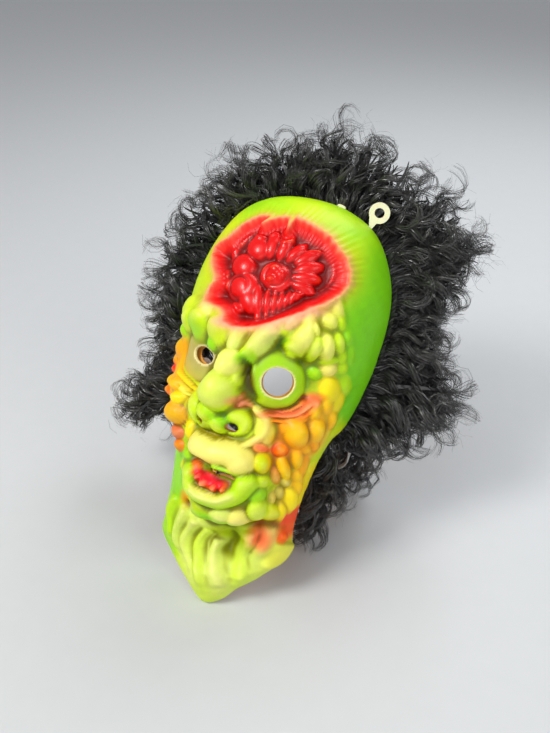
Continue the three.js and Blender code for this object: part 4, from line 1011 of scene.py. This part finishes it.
def betweenLocks(k, count, most):  # a lock, its neighbours and the share of them, for each draw
    beside = rng.uniform(-most, most, count)
    other = np.clip(k + np.sign(beside).astype(int), 0, len(lockRows) - 1)
    return lockTable[k][None], lockTable[other], np.abs(beside)[:, None]


lockMake = {
    "clumps": 42, "leave": 0.62, "rise": (-4, 3), "lift": (10, 17), "liftOver": 0.8, "liftOut": 0.75,
    "reachOut": 1.12, "sweep": 0.75, "turnBack": 0.55, "turnOut": 0.22, "endIn": 0.16,
    "rootSpread": (1.5, 0.5, 1.5), "knotSpread": (0.8, 1, 1), "radius": (4.4, 9.4), "radiusWobble": 0.1,
    "pitch": (23.0, 42.0), "pitchWobble": 0.03, "phaseWobble": 0.17, "curlFrom": 0.08,
}


def lockStrands(k):  # ringlets of one lock, some of which leave it for the next one
    clumps, strands = lockMake["clumps"], hairMake["strands"]
    count = clumps * strands
    own, other, share = betweenLocks(k, clumps, lockMake["leave"])
    bearings = (own * (1 - share) + other * share)[:, 0]
    pulled = own + (other - own) * smoothStep(share, 0.15, 0.7)
    girth = pulled[:, 4:5] * hairMake["lockGirth"]
    roots, over, out = hairRoots(bearings, rng.uniform(*lockMake["rise"], (clumps, 1)))
    centres = hairRoots(bearings)[0] + pulled[:, 1:4] * hairMake["lockLength"]
    away = inBall(clumps)
    sweep = unit(np.cross(away, rng.normal(size=(clumps, 3)))) * girth * lockMake["sweep"]
    swung = centres + away * girth * lockMake["reachOut"]
    ends = swung + sweep - unit(away) * girth * lockMake["endIn"]
    lift = over * lockMake["liftOver"] + out * lockMake["liftOut"]
    lift = lift * rng.uniform(*lockMake["lift"], (clumps, 1))
    turn = swung - sweep * lockMake["turnBack"] + unit(away) * girth * lockMake["turnOut"]
    knots = np.repeat(np.stack([roots, roots + lift, turn, ends], 1), strands, 0)
    loose = rng.normal(size=(count, 3)) * hairMake["spread"]
    knots[:, 0] += rng.normal(size=(count, 3)) * lockMake["rootSpread"]
    knots[:, 1:] += loose[:, None] * np.array(lockMake["knotSpread"])[:, None]
    radius = perClump(clumps, *lockMake["radius"]) * (1 + wobble(count, lockMake["radiusWobble"]))
    pitch = perClump(clumps, *lockMake["pitch"]) * (1 + wobble(count, lockMake["pitchWobble"]))
    phase = perClump(clumps, 0, 6.28) + wobble(count, lockMake["phaseWobble"])
    paths = bendThrough(knots, hairMake["points"])
    paths = curled(paths, radius, pitch, phase, lockMake["curlFrom"], clumpSides(clumps))
    return clearOfShell(paths), np.repeat(centres, strands, 0), clumpTones(clumps)


fillerMake = {
    "count": 110, "leave": 0.5, "points": 12, "width": 3.4, "girth": 0.74, "lift": 9.0, "liftOut": 0.5,
    "facing": 12.0,
}


def fillers(k):  # broad strands that keep light from showing through a lock, at the darkest tone as painted shade inside it
    count = fillerMake["count"]
    own, other, share = betweenLocks(k, count, fillerMake["leave"])
    between = own + (other - own) * share
    roots, over, out = hairRoots(between[:, 0])
    centres = roots + between[:, 1:4] * hairMake["lockLength"]
    girth = between[:, 4:5] * hairMake["lockGirth"] * fillerMake["girth"]
    ends = centres + inBall(count) * girth
    turn = centres + inBall(count) * girth
    lifted = roots + (over + out * fillerMake["liftOut"]) * fillerMake["lift"]
    knots = np.stack([roots, lifted, turn, ends], 1)
    paths = clearOfShell(bendThrough(knots, fillerMake["points"]))
    # tone 0, the darkest: painted shade in the lock's core
    return paths, centres + rng.normal(size=(count, 3)) * fillerMake["facing"], np.zeros(count)


legMake = {
    "clumps": 30, "points": 27, "bearing": 6.0, "rise": (-4, 3), "lift": 14.0, "liftOver": 0.8,
    "liftOut": 0.3, "footRise": (0, 14), "turn": 0.55, "turnSpread": 1.1, "radius": (3.4, 6.8), "radiusWobble": 0.1,
    "pitch": (22, 36), "phaseWobble": 0.25, "curlFrom": 0.15,
}


def legStrands(row):  # ringlets of a lock that hangs to the surface
    _, at, right, back, girth = row
    clumps, count = legMake["clumps"], legMake["clumps"] * hairMake["strands"]
    bearings = at + rng.uniform(-legMake["bearing"], legMake["bearing"], clumps)
    roots, over, out = hairRoots(bearings, rng.uniform(*legMake["rise"], (clumps, 1)))
    root = hairRoots(np.array([at]))[0][0]
    foot = root + np.array([right, back, 0]) * hairMake["lockLength"]
    foot[2] = floorUp
    spread = inBall(clumps) * girth * hairMake["lockGirth"] * [1, 1, 0]
    ends = foot + spread + np.array([0, 0, 1]) * rng.uniform(*legMake["footRise"], (clumps, 1))
    lift = (over * legMake["liftOver"] + out * legMake["liftOut"]) * legMake["lift"]
    turn = roots + (ends - roots) * legMake["turn"] + spread * legMake["turnSpread"]
    knots = np.repeat(np.stack([roots, roots + lift, turn, ends], 1), hairMake["strands"], 0)
    knots[:, 2:] += rng.normal(size=(count, 2, 3)) * hairMake["spread"]
    radius = perClump(clumps, *legMake["radius"]) * (1 + wobble(count, legMake["radiusWobble"]))
    side = clumpSides(clumps)
    pitch = perClump(clumps, *legMake["pitch"])
    phase = perClump(clumps, 0, 6.28) + wobble(count, legMake["phaseWobble"])
    paths = curled(bendThrough(knots, legMake["points"]), radius, pitch, phase, legMake["curlFrom"], side)
    return clearOfShell(paths), np.repeat((root + foot)[None] / 2, count, 0), clumpTones(clumps)


combMake = {
    "combs": 190, "strands": 14, "points": 14, "bearings": (-32, 206), "rise": (-2, 2), "length": (22, 34),
    "fall": (0.2, 0.6), "tones": (0.2, 0.9), "toneWobble": 0.15, "facing": 30.0,
    "spread": (0.35, 0.5, 0.8, 1.3),
    "shares": [(0, 0, 0), (0.4, 0.1, 0), (0.5, 0.6, 0), (0.62, 0.8, 1)],  # over, out and down at each knot
}


def combedStrands(combs):  # short combed tufts that fold out over the edge from the strip
    strands = combMake["strands"]
    at = np.linspace(*combMake["bearings"], combs) + rng.uniform(-0.4, 0.4, combs)
    roots, over, out = hairRoots(at, rng.uniform(*combMake["rise"], (combs, 1)))
    length = rng.uniform(*combMake["length"], (combs, 1))
    fall = rng.uniform(*combMake["fall"], (combs, 1)) * [0, 0, -1]
    knots = np.stack([roots + (over * a + out * b + fall * c) * length for a, b, c in combMake["shares"]], 1)
    knots = np.repeat(knots, strands, 0)
    knots += rng.normal(size=knots.shape) * np.array(combMake["spread"])[:, None]
    tones = np.repeat(rng.uniform(*combMake["tones"], combs), strands)
    tones = np.clip(tones + wobble(len(tones), combMake["toneWobble"]), 0, 1)
    centres = np.repeat(roots - out * combMake["facing"], strands, 0)
    return clearOfShell(bendThrough(knots, combMake["points"])), centres, tones


strayMake = {
    "count": 560, "width": 0.4, "points": 26, "bearing": 6.0, "swing": 26.0, "reach": (1.0, 1.34),
    "lift": 8.0, "turnSwing": 6.0, "radius": (2.5, 7), "pitch": (14, 30), "curlFrom": 0.3, "tones": (0.3, 1),
}


def strayStrands(count):  # single hairs that stand away from the locks
    rows = lockTable[rng.integers(0, len(lockRows), count)]
    roots, over, out = hairRoots(rows[:, 0] + rng.uniform(-strayMake["bearing"], strayMake["bearing"], count))
    reach = rows[:, 1:4] * hairMake["lockLength"]
    girth = rows[:, 4:5] * hairMake["lockGirth"]
    away = unit(reach * 0.6 + rng.normal(size=(count, 3)) * strayMake["swing"])
    ends = roots + reach + away * girth * rng.uniform(*strayMake["reach"], (count, 1))
    turn = roots + reach * 0.8 + away * strayMake["turnSwing"]
    knots = np.stack([roots, roots + (out + over) * strayMake["lift"], turn, ends], 1)
    radius, pitch = rng.uniform(*strayMake["radius"], count), rng.uniform(*strayMake["pitch"], count)
    phase, side = rng.uniform(0, 6.28, count), unit(rng.normal(size=(count, 3)))
    paths = curled(bendThrough(knots, strayMake["points"]), radius, pitch, phase, strayMake["curlFrom"], side)
    return clearOfShell(paths), roots + reach, rng.uniform(*strayMake["tones"], count)


def buildHair():
    width, pieces = hairMake["width"], []
    rows = [  # name of the piece, what makes its strands, from what, and their width
        ("hair_left", lockStrands, range(12, 16), width),
        ("hair_top", lockStrands, range(8, 12), width),
        ("hair_right_upper", lockStrands, range(4, 8), width),
        ("hair_right_lower", lockStrands, range(4), width),
        ("hair_under", fillers, range(len(lockRows)), fillerMake["width"]),
        ("hair_hanging", legStrands, legRows, width),
        ("hair_combed", combedStrands, [combMake["combs"]], width),
        ("hair_stray", strayStrands, [strayMake["count"]], strayMake["width"]),
    ]
    for name, maker, items, wide in rows:
        paths, centres, tones = (np.concatenate(part) for part in zip(*[maker(item) for item in items]))
        pieces.append(ribbons(name, paths, centres, tones, wide))
    return pieces


hairPieces = buildHair()
print("hair curled:", sum(len(piece.data.polygons) for piece in hairPieces), "faces")


# the strip that the hair is sewn to, and the elastic strap behind the face

band = {"first": -48, "last": 228, "step": 2, "width": 5.0, "thickness": 2.2, "overhang": 7.0, "gap": 0.7}
strap = {
    "at": 6, "width": 10.0, "thickness": 1.2, "beyond": 4.0, "clearance": 0.35, "steps": 150,
    "places": 13, "braid": 0.12, "cords": 6,
}
strapRows = [  # right, back and rise of the right half: shares of halfWidth
    (0.88, -0.16, -0.8), (0.76, 0, -1.18), (0.42, 0.07, -1.44), (0, 0.09, -1.53),
]


def strip(name, sections):  # a solid strip through sections of equal size, with both ends closed
    sections = np.asarray(sections)
    rings, sides = sections.shape[:2]
    index = np.arange(rings * sides).reshape(rings, sides)
    near, far = index[:-1], index[1:]
    faces = np.stack([near, np.roll(near, -1, 1), np.roll(far, -1, 1), far], -1).reshape(-1, 4)
    caps = [[ring[k], ring[k + 1], ring[sides - 2 - k], ring[sides - 1 - k]][::way]
            for ring, way in ((index[0], -1), (index[-1], 1)) for k in range(sides // 2 - 1)]
    piece = makeMesh(name, toRow(sections.reshape(-1, 3)), np.concatenate([faces, np.array(caps)]))
    bm = bmesh.new()
    bm.from_mesh(piece.data)
    bmesh.ops.recalc_face_normals(bm, faces=bm.faces)
    bm.to_mesh(piece.data)
    bm.free()
    return piece


def makeHairBand():
    edge, over, out = rimFrames(np.arange(band["first"], band["last"] + 1, band["step"]))
    near = -face["wall"] - band["gap"]
    far = near - band["thickness"]
    top, low = band["overhang"], -band["width"]
    corners = [(near, top), (far, top), (far, low), (near, low)]
    return strip("hair_band", np.stack([edge + out * a + over * b for a, b in corners], 1))


def strapRoute():
    depth = face["wall"] + band["gap"] + band["thickness"] + strap["clearance"] + strap["thickness"] / 2
    ends = []
    for at in (strap["at"], 180 - strap["at"]):
        edge, over, out = (part[0] for part in rimFrames([at]))
        sewn = edge - out * depth
        ends.append((sewn, sewn + over * (band["overhang"] + strap["beyond"])))
    right = [np.array(row) * face["halfWidth"] for row in strapRows]
    left = [row * [-1, 1, 1] for row in right[-2::-1]]
    knots = np.array([*ends[0], *right, *left, *ends[1][::-1]])
    step = np.concatenate([[0], np.cumsum(np.linalg.norm(np.diff(knots, axis=0), axis=1) ** 0.5)])
    return smoothThrough(knots, step, np.linspace(0, step[-1], strap["steps"]))


def smoothThrough(knots, at, places):  # a smooth curve through knots at given places
    slopes = np.gradient(knots, at, axis=0)
    k = np.clip(np.searchsorted(at, places) - 1, 0, len(at) - 2)
    span = (at[k + 1] - at[k])[:, None]
    t = (places[:, None] - at[k][:, None]) / span
    return ((2 * t ** 3 - 3 * t ** 2 + 1) * knots[k] + (t ** 3 - 2 * t ** 2 + t) * span * slopes[k]
            + (3 * t ** 2 - 2 * t ** 3) * knots[k + 1] + (t ** 3 - t ** 2) * span * slopes[k + 1])


def makeStrap():
    path = strapRoute()
    tangent = unit(np.gradient(path, axis=0))
    normal = [unit(np.cross(tangent[0], [0, 0, 1.0]))]
    for k in range(1, len(path)):
        normal.append(unit(normal[-1] - tangent[k] * (normal[-1] @ tangent[k])))
    across = np.cross(tangent, normal)
    places = np.linspace(-1, 1, strap["places"])
    rib = 1 + strap["braid"] * np.cos(places * strap["cords"] * np.pi)  # cords of rubber in the braid
    half = strap["width"] / 2 * places
    thin = strap["thickness"] / 2 * rib * np.sqrt(np.clip(1 - 0.6 * places ** 8, 0, 1))
    outline = [*zip(half, thin), *zip(half[::-1], -thin[::-1])]
    return strip("strap_band", np.stack([path + across * h + np.array(normal) * w for h, w in outline], 1))


hairBand = makeHairBand()
strapBand = makeStrap()
print("strap and hair strip made")


# materials


def startMaterial(name):  # a material with its shader, and where its nodes are kept
    material = bpy.data.materials.new(name)
    material.use_nodes = True
    tree = material.node_tree
    return material, tree, tree.nodes["Principled BSDF"]


def addNode(tree, kind, **values):  # a shader node with some of its values set
    node = tree.nodes.new("ShaderNode" + kind)
    setValues(node, **values)
    return node


def setValues(node, **values):
    for name, value in values.items():
        node.inputs[name.replace("_", " ")].default_value = value


def readValue(tree, name, output="Fac"):  # what a piece carries at its points
    node = addNode(tree, "Attribute")
    node.attribute_name = name
    return node.outputs[output]


def joinMath(tree, operation, first, second):
    node = addNode(tree, "Math")
    node.operation = operation
    for socket, value in zip(node.inputs, (first, second)):
        if isinstance(value, (int, float)):
            socket.default_value = value
        else:
            tree.links.new(value, socket)
    return node.outputs[0]


def scaled(tree, value, factor, more=0.0):  # value times factor, and more
    product = joinMath(tree, "MULTIPLY", value, factor)
    return joinMath(tree, "ADD", product, more)


def makeGroup(name, inputs, outputs):  # an empty shader node group with named sockets
    group = bpy.data.node_groups.new(name, "ShaderNodeTree")
    for way, sockets in (("INPUT", inputs), ("OUTPUT", outputs)):
        for socket, kind, value in sockets:
            made = group.interface.new_socket(socket, in_out=way, socket_type="NodeSocket" + kind)
            if value is not None:
                made.default_value = value
    return group, group.nodes.new("NodeGroupInput"), group.nodes.new("NodeGroupOutput")


def makeSpeckle():  # small differences of colour, shine and height over any moulded surface
    group, given, made = makeGroup(
        "surfaceSpeckle",
        [("Colour", "Color", (1, 1, 1, 1)), ("Size", "Float", 900.0), ("Change", "Float", 0.12),
         ("Shine", "Float", 0.4), ("Bump Strength", "Float", 0.12)],
        [("Base Color", "Color", None), ("Roughness", "Float", None), ("Normal", "Vector", None)])
    where = addNode(group, "TexCoord").outputs["Object"]
    grain = addNode(group, "TexNoise", Detail=4)
    patches = addNode(group, "TexNoise", Scale=60, Detail=3)
    both = joinMath(group, "ADD", patches.outputs["Fac"], scaled(group, grain.outputs["Fac"], 0.7, -0.85))
    level = joinMath(group, "MULTIPLY", both, given.outputs["Change"])
    tone = addNode(group, "HueSaturation")
    bump = addNode(group, "Bump", Distance=0.0004)
    for source, socket in (
            (where, grain.inputs["Vector"]), (where, patches.inputs["Vector"]),
            (given.outputs["Size"], grain.inputs["Scale"]), (given.outputs["Colour"], tone.inputs["Color"]),
            (joinMath(group, "ADD", level, 1.0), tone.inputs["Value"]),
            (tone.outputs["Color"], made.inputs["Base Color"]),
            (scaled(group, level, 0.8, given.outputs["Shine"]), made.inputs["Roughness"]),
            (given.outputs["Bump Strength"], bump.inputs["Strength"]),
            (grain.outputs["Fac"], bump.inputs["Height"]), (bump.outputs["Normal"], made.inputs["Normal"])):
        group.links.new(source, socket)
    return group


def addSpeckle(tree, shader, **values):  # joins the group to a shader's own sockets
    node = tree.nodes.new("ShaderNodeGroup")
    node.node_tree = speckle
    setValues(node, **values)
    for name in ("Base Color", "Roughness", "Normal"):
        tree.links.new(node.outputs[name], shader.inputs[name])
    return node


def paintedVinyl():
    material, tree, shader = startMaterial("painted_vinyl")
    node = addSpeckle(tree, shader, Size=700.0, Change=0.16, Bump_Strength=0.10)
    wet = readValue(tree, "wet")
    tree.links.new(readValue(tree, "paint", "Color"), node.inputs["Colour"])
    tree.links.new(scaled(tree, wet, -0.12, 0.44), node.inputs["Shine"])
    tree.links.new(scaled(tree, wet, 0.22), shader.inputs["Coat Weight"])
    setValues(shader, Coat_Roughness=0.12, Specular_IOR_Level=0.38)
    return material


def bareVinyl(name, colour, glow, shine):  # unpainted vinyl with a painted glow: its emission stands in for light coming through its thin wall
    material, tree, shader = startMaterial(name)
    light = (*linear(colour), 1)
    addSpeckle(tree, shader, Colour=light, Size=500.0, Change=0.2, Shine=shine, Bump_Strength=0.15)
    # painted glow: the sheet's own colour sent out as light, though it is no lamp
    setValues(shader, Emission_Color=light, Emission_Strength=glow)
    setValues(shader, Subsurface_Weight=0.2, Subsurface_Scale=0.002)
    return material


def hairFibre():
    material, tree, shader = startMaterial("hair_fibre")
    tone = readValue(tree, "tone")
    ramp = addNode(tree, "ValToRGB")
    ramp.color_ramp.elements[0].color = (0.004, 0.004, 0.0042, 1)
    ramp.color_ramp.elements[1].color = (0.06, 0.057, 0.053, 1)
    tree.links.new(tone, ramp.inputs["Fac"])
    tree.links.new(ramp.outputs["Color"], shader.inputs["Base Color"])
    tree.links.new(scaled(tree, tone, -0.1, 0.42), shader.inputs["Roughness"])
    setValues(shader, Specular_IOR_Level=0.9, Sheen_Weight=0.08)
    return material


def wovenCloth(name, colour, scale, shine):  # fine raised threads both ways
    material, tree, shader = startMaterial(name)
    light = (*linear(colour), 1)
    node = addSpeckle(tree, shader, Colour=light, Size=300.0, Change=0.3, Shine=shine, Bump_Strength=0.2)
    where = addNode(tree, "TexCoord").outputs["Object"]
    heights = []
    for turn in ("X", "Z"):
        threads = addNode(tree, "TexWave", Scale=scale, Distortion=0.6)
        threads.bands_direction = turn
        tree.links.new(where, threads.inputs["Vector"])
        heights.append(threads.outputs["Fac"])
    bump = addNode(tree, "Bump", Strength=0.6, Distance=0.0003)
    tree.links.new(joinMath(tree, "MAXIMUM", *heights), bump.inputs["Height"])
    tree.links.new(node.outputs["Normal"], bump.inputs["Normal"])
    tree.links.new(bump.outputs["Normal"], shader.inputs["Normal"])
    return material


speckle = makeSpeckle()
finishes = {
    "face": paintedVinyl(),
    # the inside's orange-tan and its glow are painted light, standing for light through the painted wall; the bare
    # vinyl itself is cream
    "inside": bareVinyl("bare_vinyl_inside_glow", (226, 158, 66), 0.10, 0.55),
    "tab": bareVinyl("bare_vinyl_tab", (236, 232, 196), 0.03, 0.35),
    "hair": hairFibre(),
    "strip": wovenCloth("hair_strip_cloth", (30, 28, 27), 260.0, 0.8),
    "strap": wovenCloth("braided_elastic", (238, 236, 228), 420.0, 0.75),
}
print("materials made")


# which piece stands for which part

pieceRows = [(maskFace, "mask_shell", "vinyl", "face"), (maskInside, "mask_shell", "vinyl", "inside")]
pieceRows += [(piece, "hair", "hair", "hair") for piece in hairPieces]
pieceRows += [(hairBand, "hair", "hair", "strip"), (strapBand, "elastic_strap", "elastic", "strap")]
for piece, node, slotName, finish in pieceRows:
    piece.data.materials.append(finishes[finish])
    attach(piece, "root")
    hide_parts(node)
for node in ("hang_tab", "rim_stub"):
    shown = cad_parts[node]
    shown.data.materials.clear()
    shown.data.materials.append(finishes["tab"])


# camera, floor and light

view = {"round": 25.4, "above": 34.3, "away": 671.0, "acrossShift": 5.4, "upShift": 8.2, "lens": 39.29}
studio = {
    "floorSize": 14.0, "floorColour": (0.60, 0.61, 0.62), "worldColour": (0.92, 0.95, 1.0), "world": 0.3,
    "even": 0.55, "evenAngle": 50.0, "evenTurn": (28.0, -14.0, 0.0), "aim": (0, 0, 0.15),
}
lampRows = [  # name, place, size, power and colour of each soft light
    ("key", (-0.55, -0.75, 1.25), 0.45, 12.0, (1.0, 0.985, 0.96)),
    ("side", (1.15, -0.35, 0.95), 0.8, 5.0, (1.0, 0.99, 0.98)),
    ("back", (0.15, 0.95, 1.15), 0.8, 9.0, (0.95, 0.98, 1.0)),
    ("front", (0.35, -1.3, 0.55), 0.9, 2.0, (1.0, 0.98, 0.95)),
]


def place(name, data):  # a lamp or camera in the scene
    holder = bpy.data.objects.new(name, data)
    bpy.context.scene.collection.objects.link(holder)
    return holder


def placeCamera():
    turn, climb = math.radians(view["round"]), math.radians(view["above"])
    back = np.array([math.sin(turn) * math.cos(climb), -math.cos(turn) * math.cos(climb), math.sin(climb)])
    right = np.array([math.cos(turn), math.sin(turn), 0])
    up = np.cross(back, right)
    camera = bpy.data.cameras.new("camera")
    camera.sensor_fit = "VERTICAL"
    camera.sensor_height = 36
    camera.lens = view["lens"]
    camera.clip_start = 0.01
    holder = place("camera", camera)
    origin = toRow(back * view["away"] - right * view["acrossShift"] - up * view["upShift"])
    turned = Matrix([list(right), list(up), list(back)]).transposed()
    holder.matrix_world = Matrix.Translation(Vector(origin)) @ turned.to_4x4()
    bpy.context.scene.camera = holder


def makeFloor():  # a wide pale sheet
    reach = studio["floorSize"] / math.sqrt(2)
    corners = [(reach, reach, 0), (-reach, reach, 0), (-reach, -reach, 0), (reach, -reach, 0)]
    floor = makeMesh("floor", corners, [[0, 1, 2, 3]])
    material, tree, shader = startMaterial("floor_paper")
    colour = (*studio["floorColour"], 1)
    addSpeckle(tree, shader, Colour=colour, Size=40.0, Change=0.03, Shine=0.6, Bump_Strength=0.02)
    floor.data.materials.append(material)


def placeLights():
    for name, origin, size, power, colour in lampRows:
        lamp = bpy.data.lights.new(name, "AREA")
        lamp.size, lamp.energy, lamp.color = size, power, colour
        holder = place(name, lamp)
        holder.location = origin
        aim = Vector(studio["aim"]) - Vector(origin)
        holder.rotation_euler = aim.to_track_quat("-Z", "Y").to_euler()
    even = bpy.data.lights.new("even", "SUN")
    even.energy, even.angle = studio["even"], math.radians(studio["evenAngle"])
    place("even", even).rotation_euler = [math.radians(turn) for turn in studio["evenTurn"]]
    world = bpy.data.worlds.new("studio")
    bpy.context.scene.world = world
    world.use_nodes = True
    background = world.node_tree.nodes["Background"]
    setValues(background, Color=(*studio["worldColour"], 1), Strength=studio["world"])
    bpy.context.scene.view_settings.view_transform = "Standard"


placeCamera()
makeFloor()
placeLights()
print("camera, floor and lights placed")
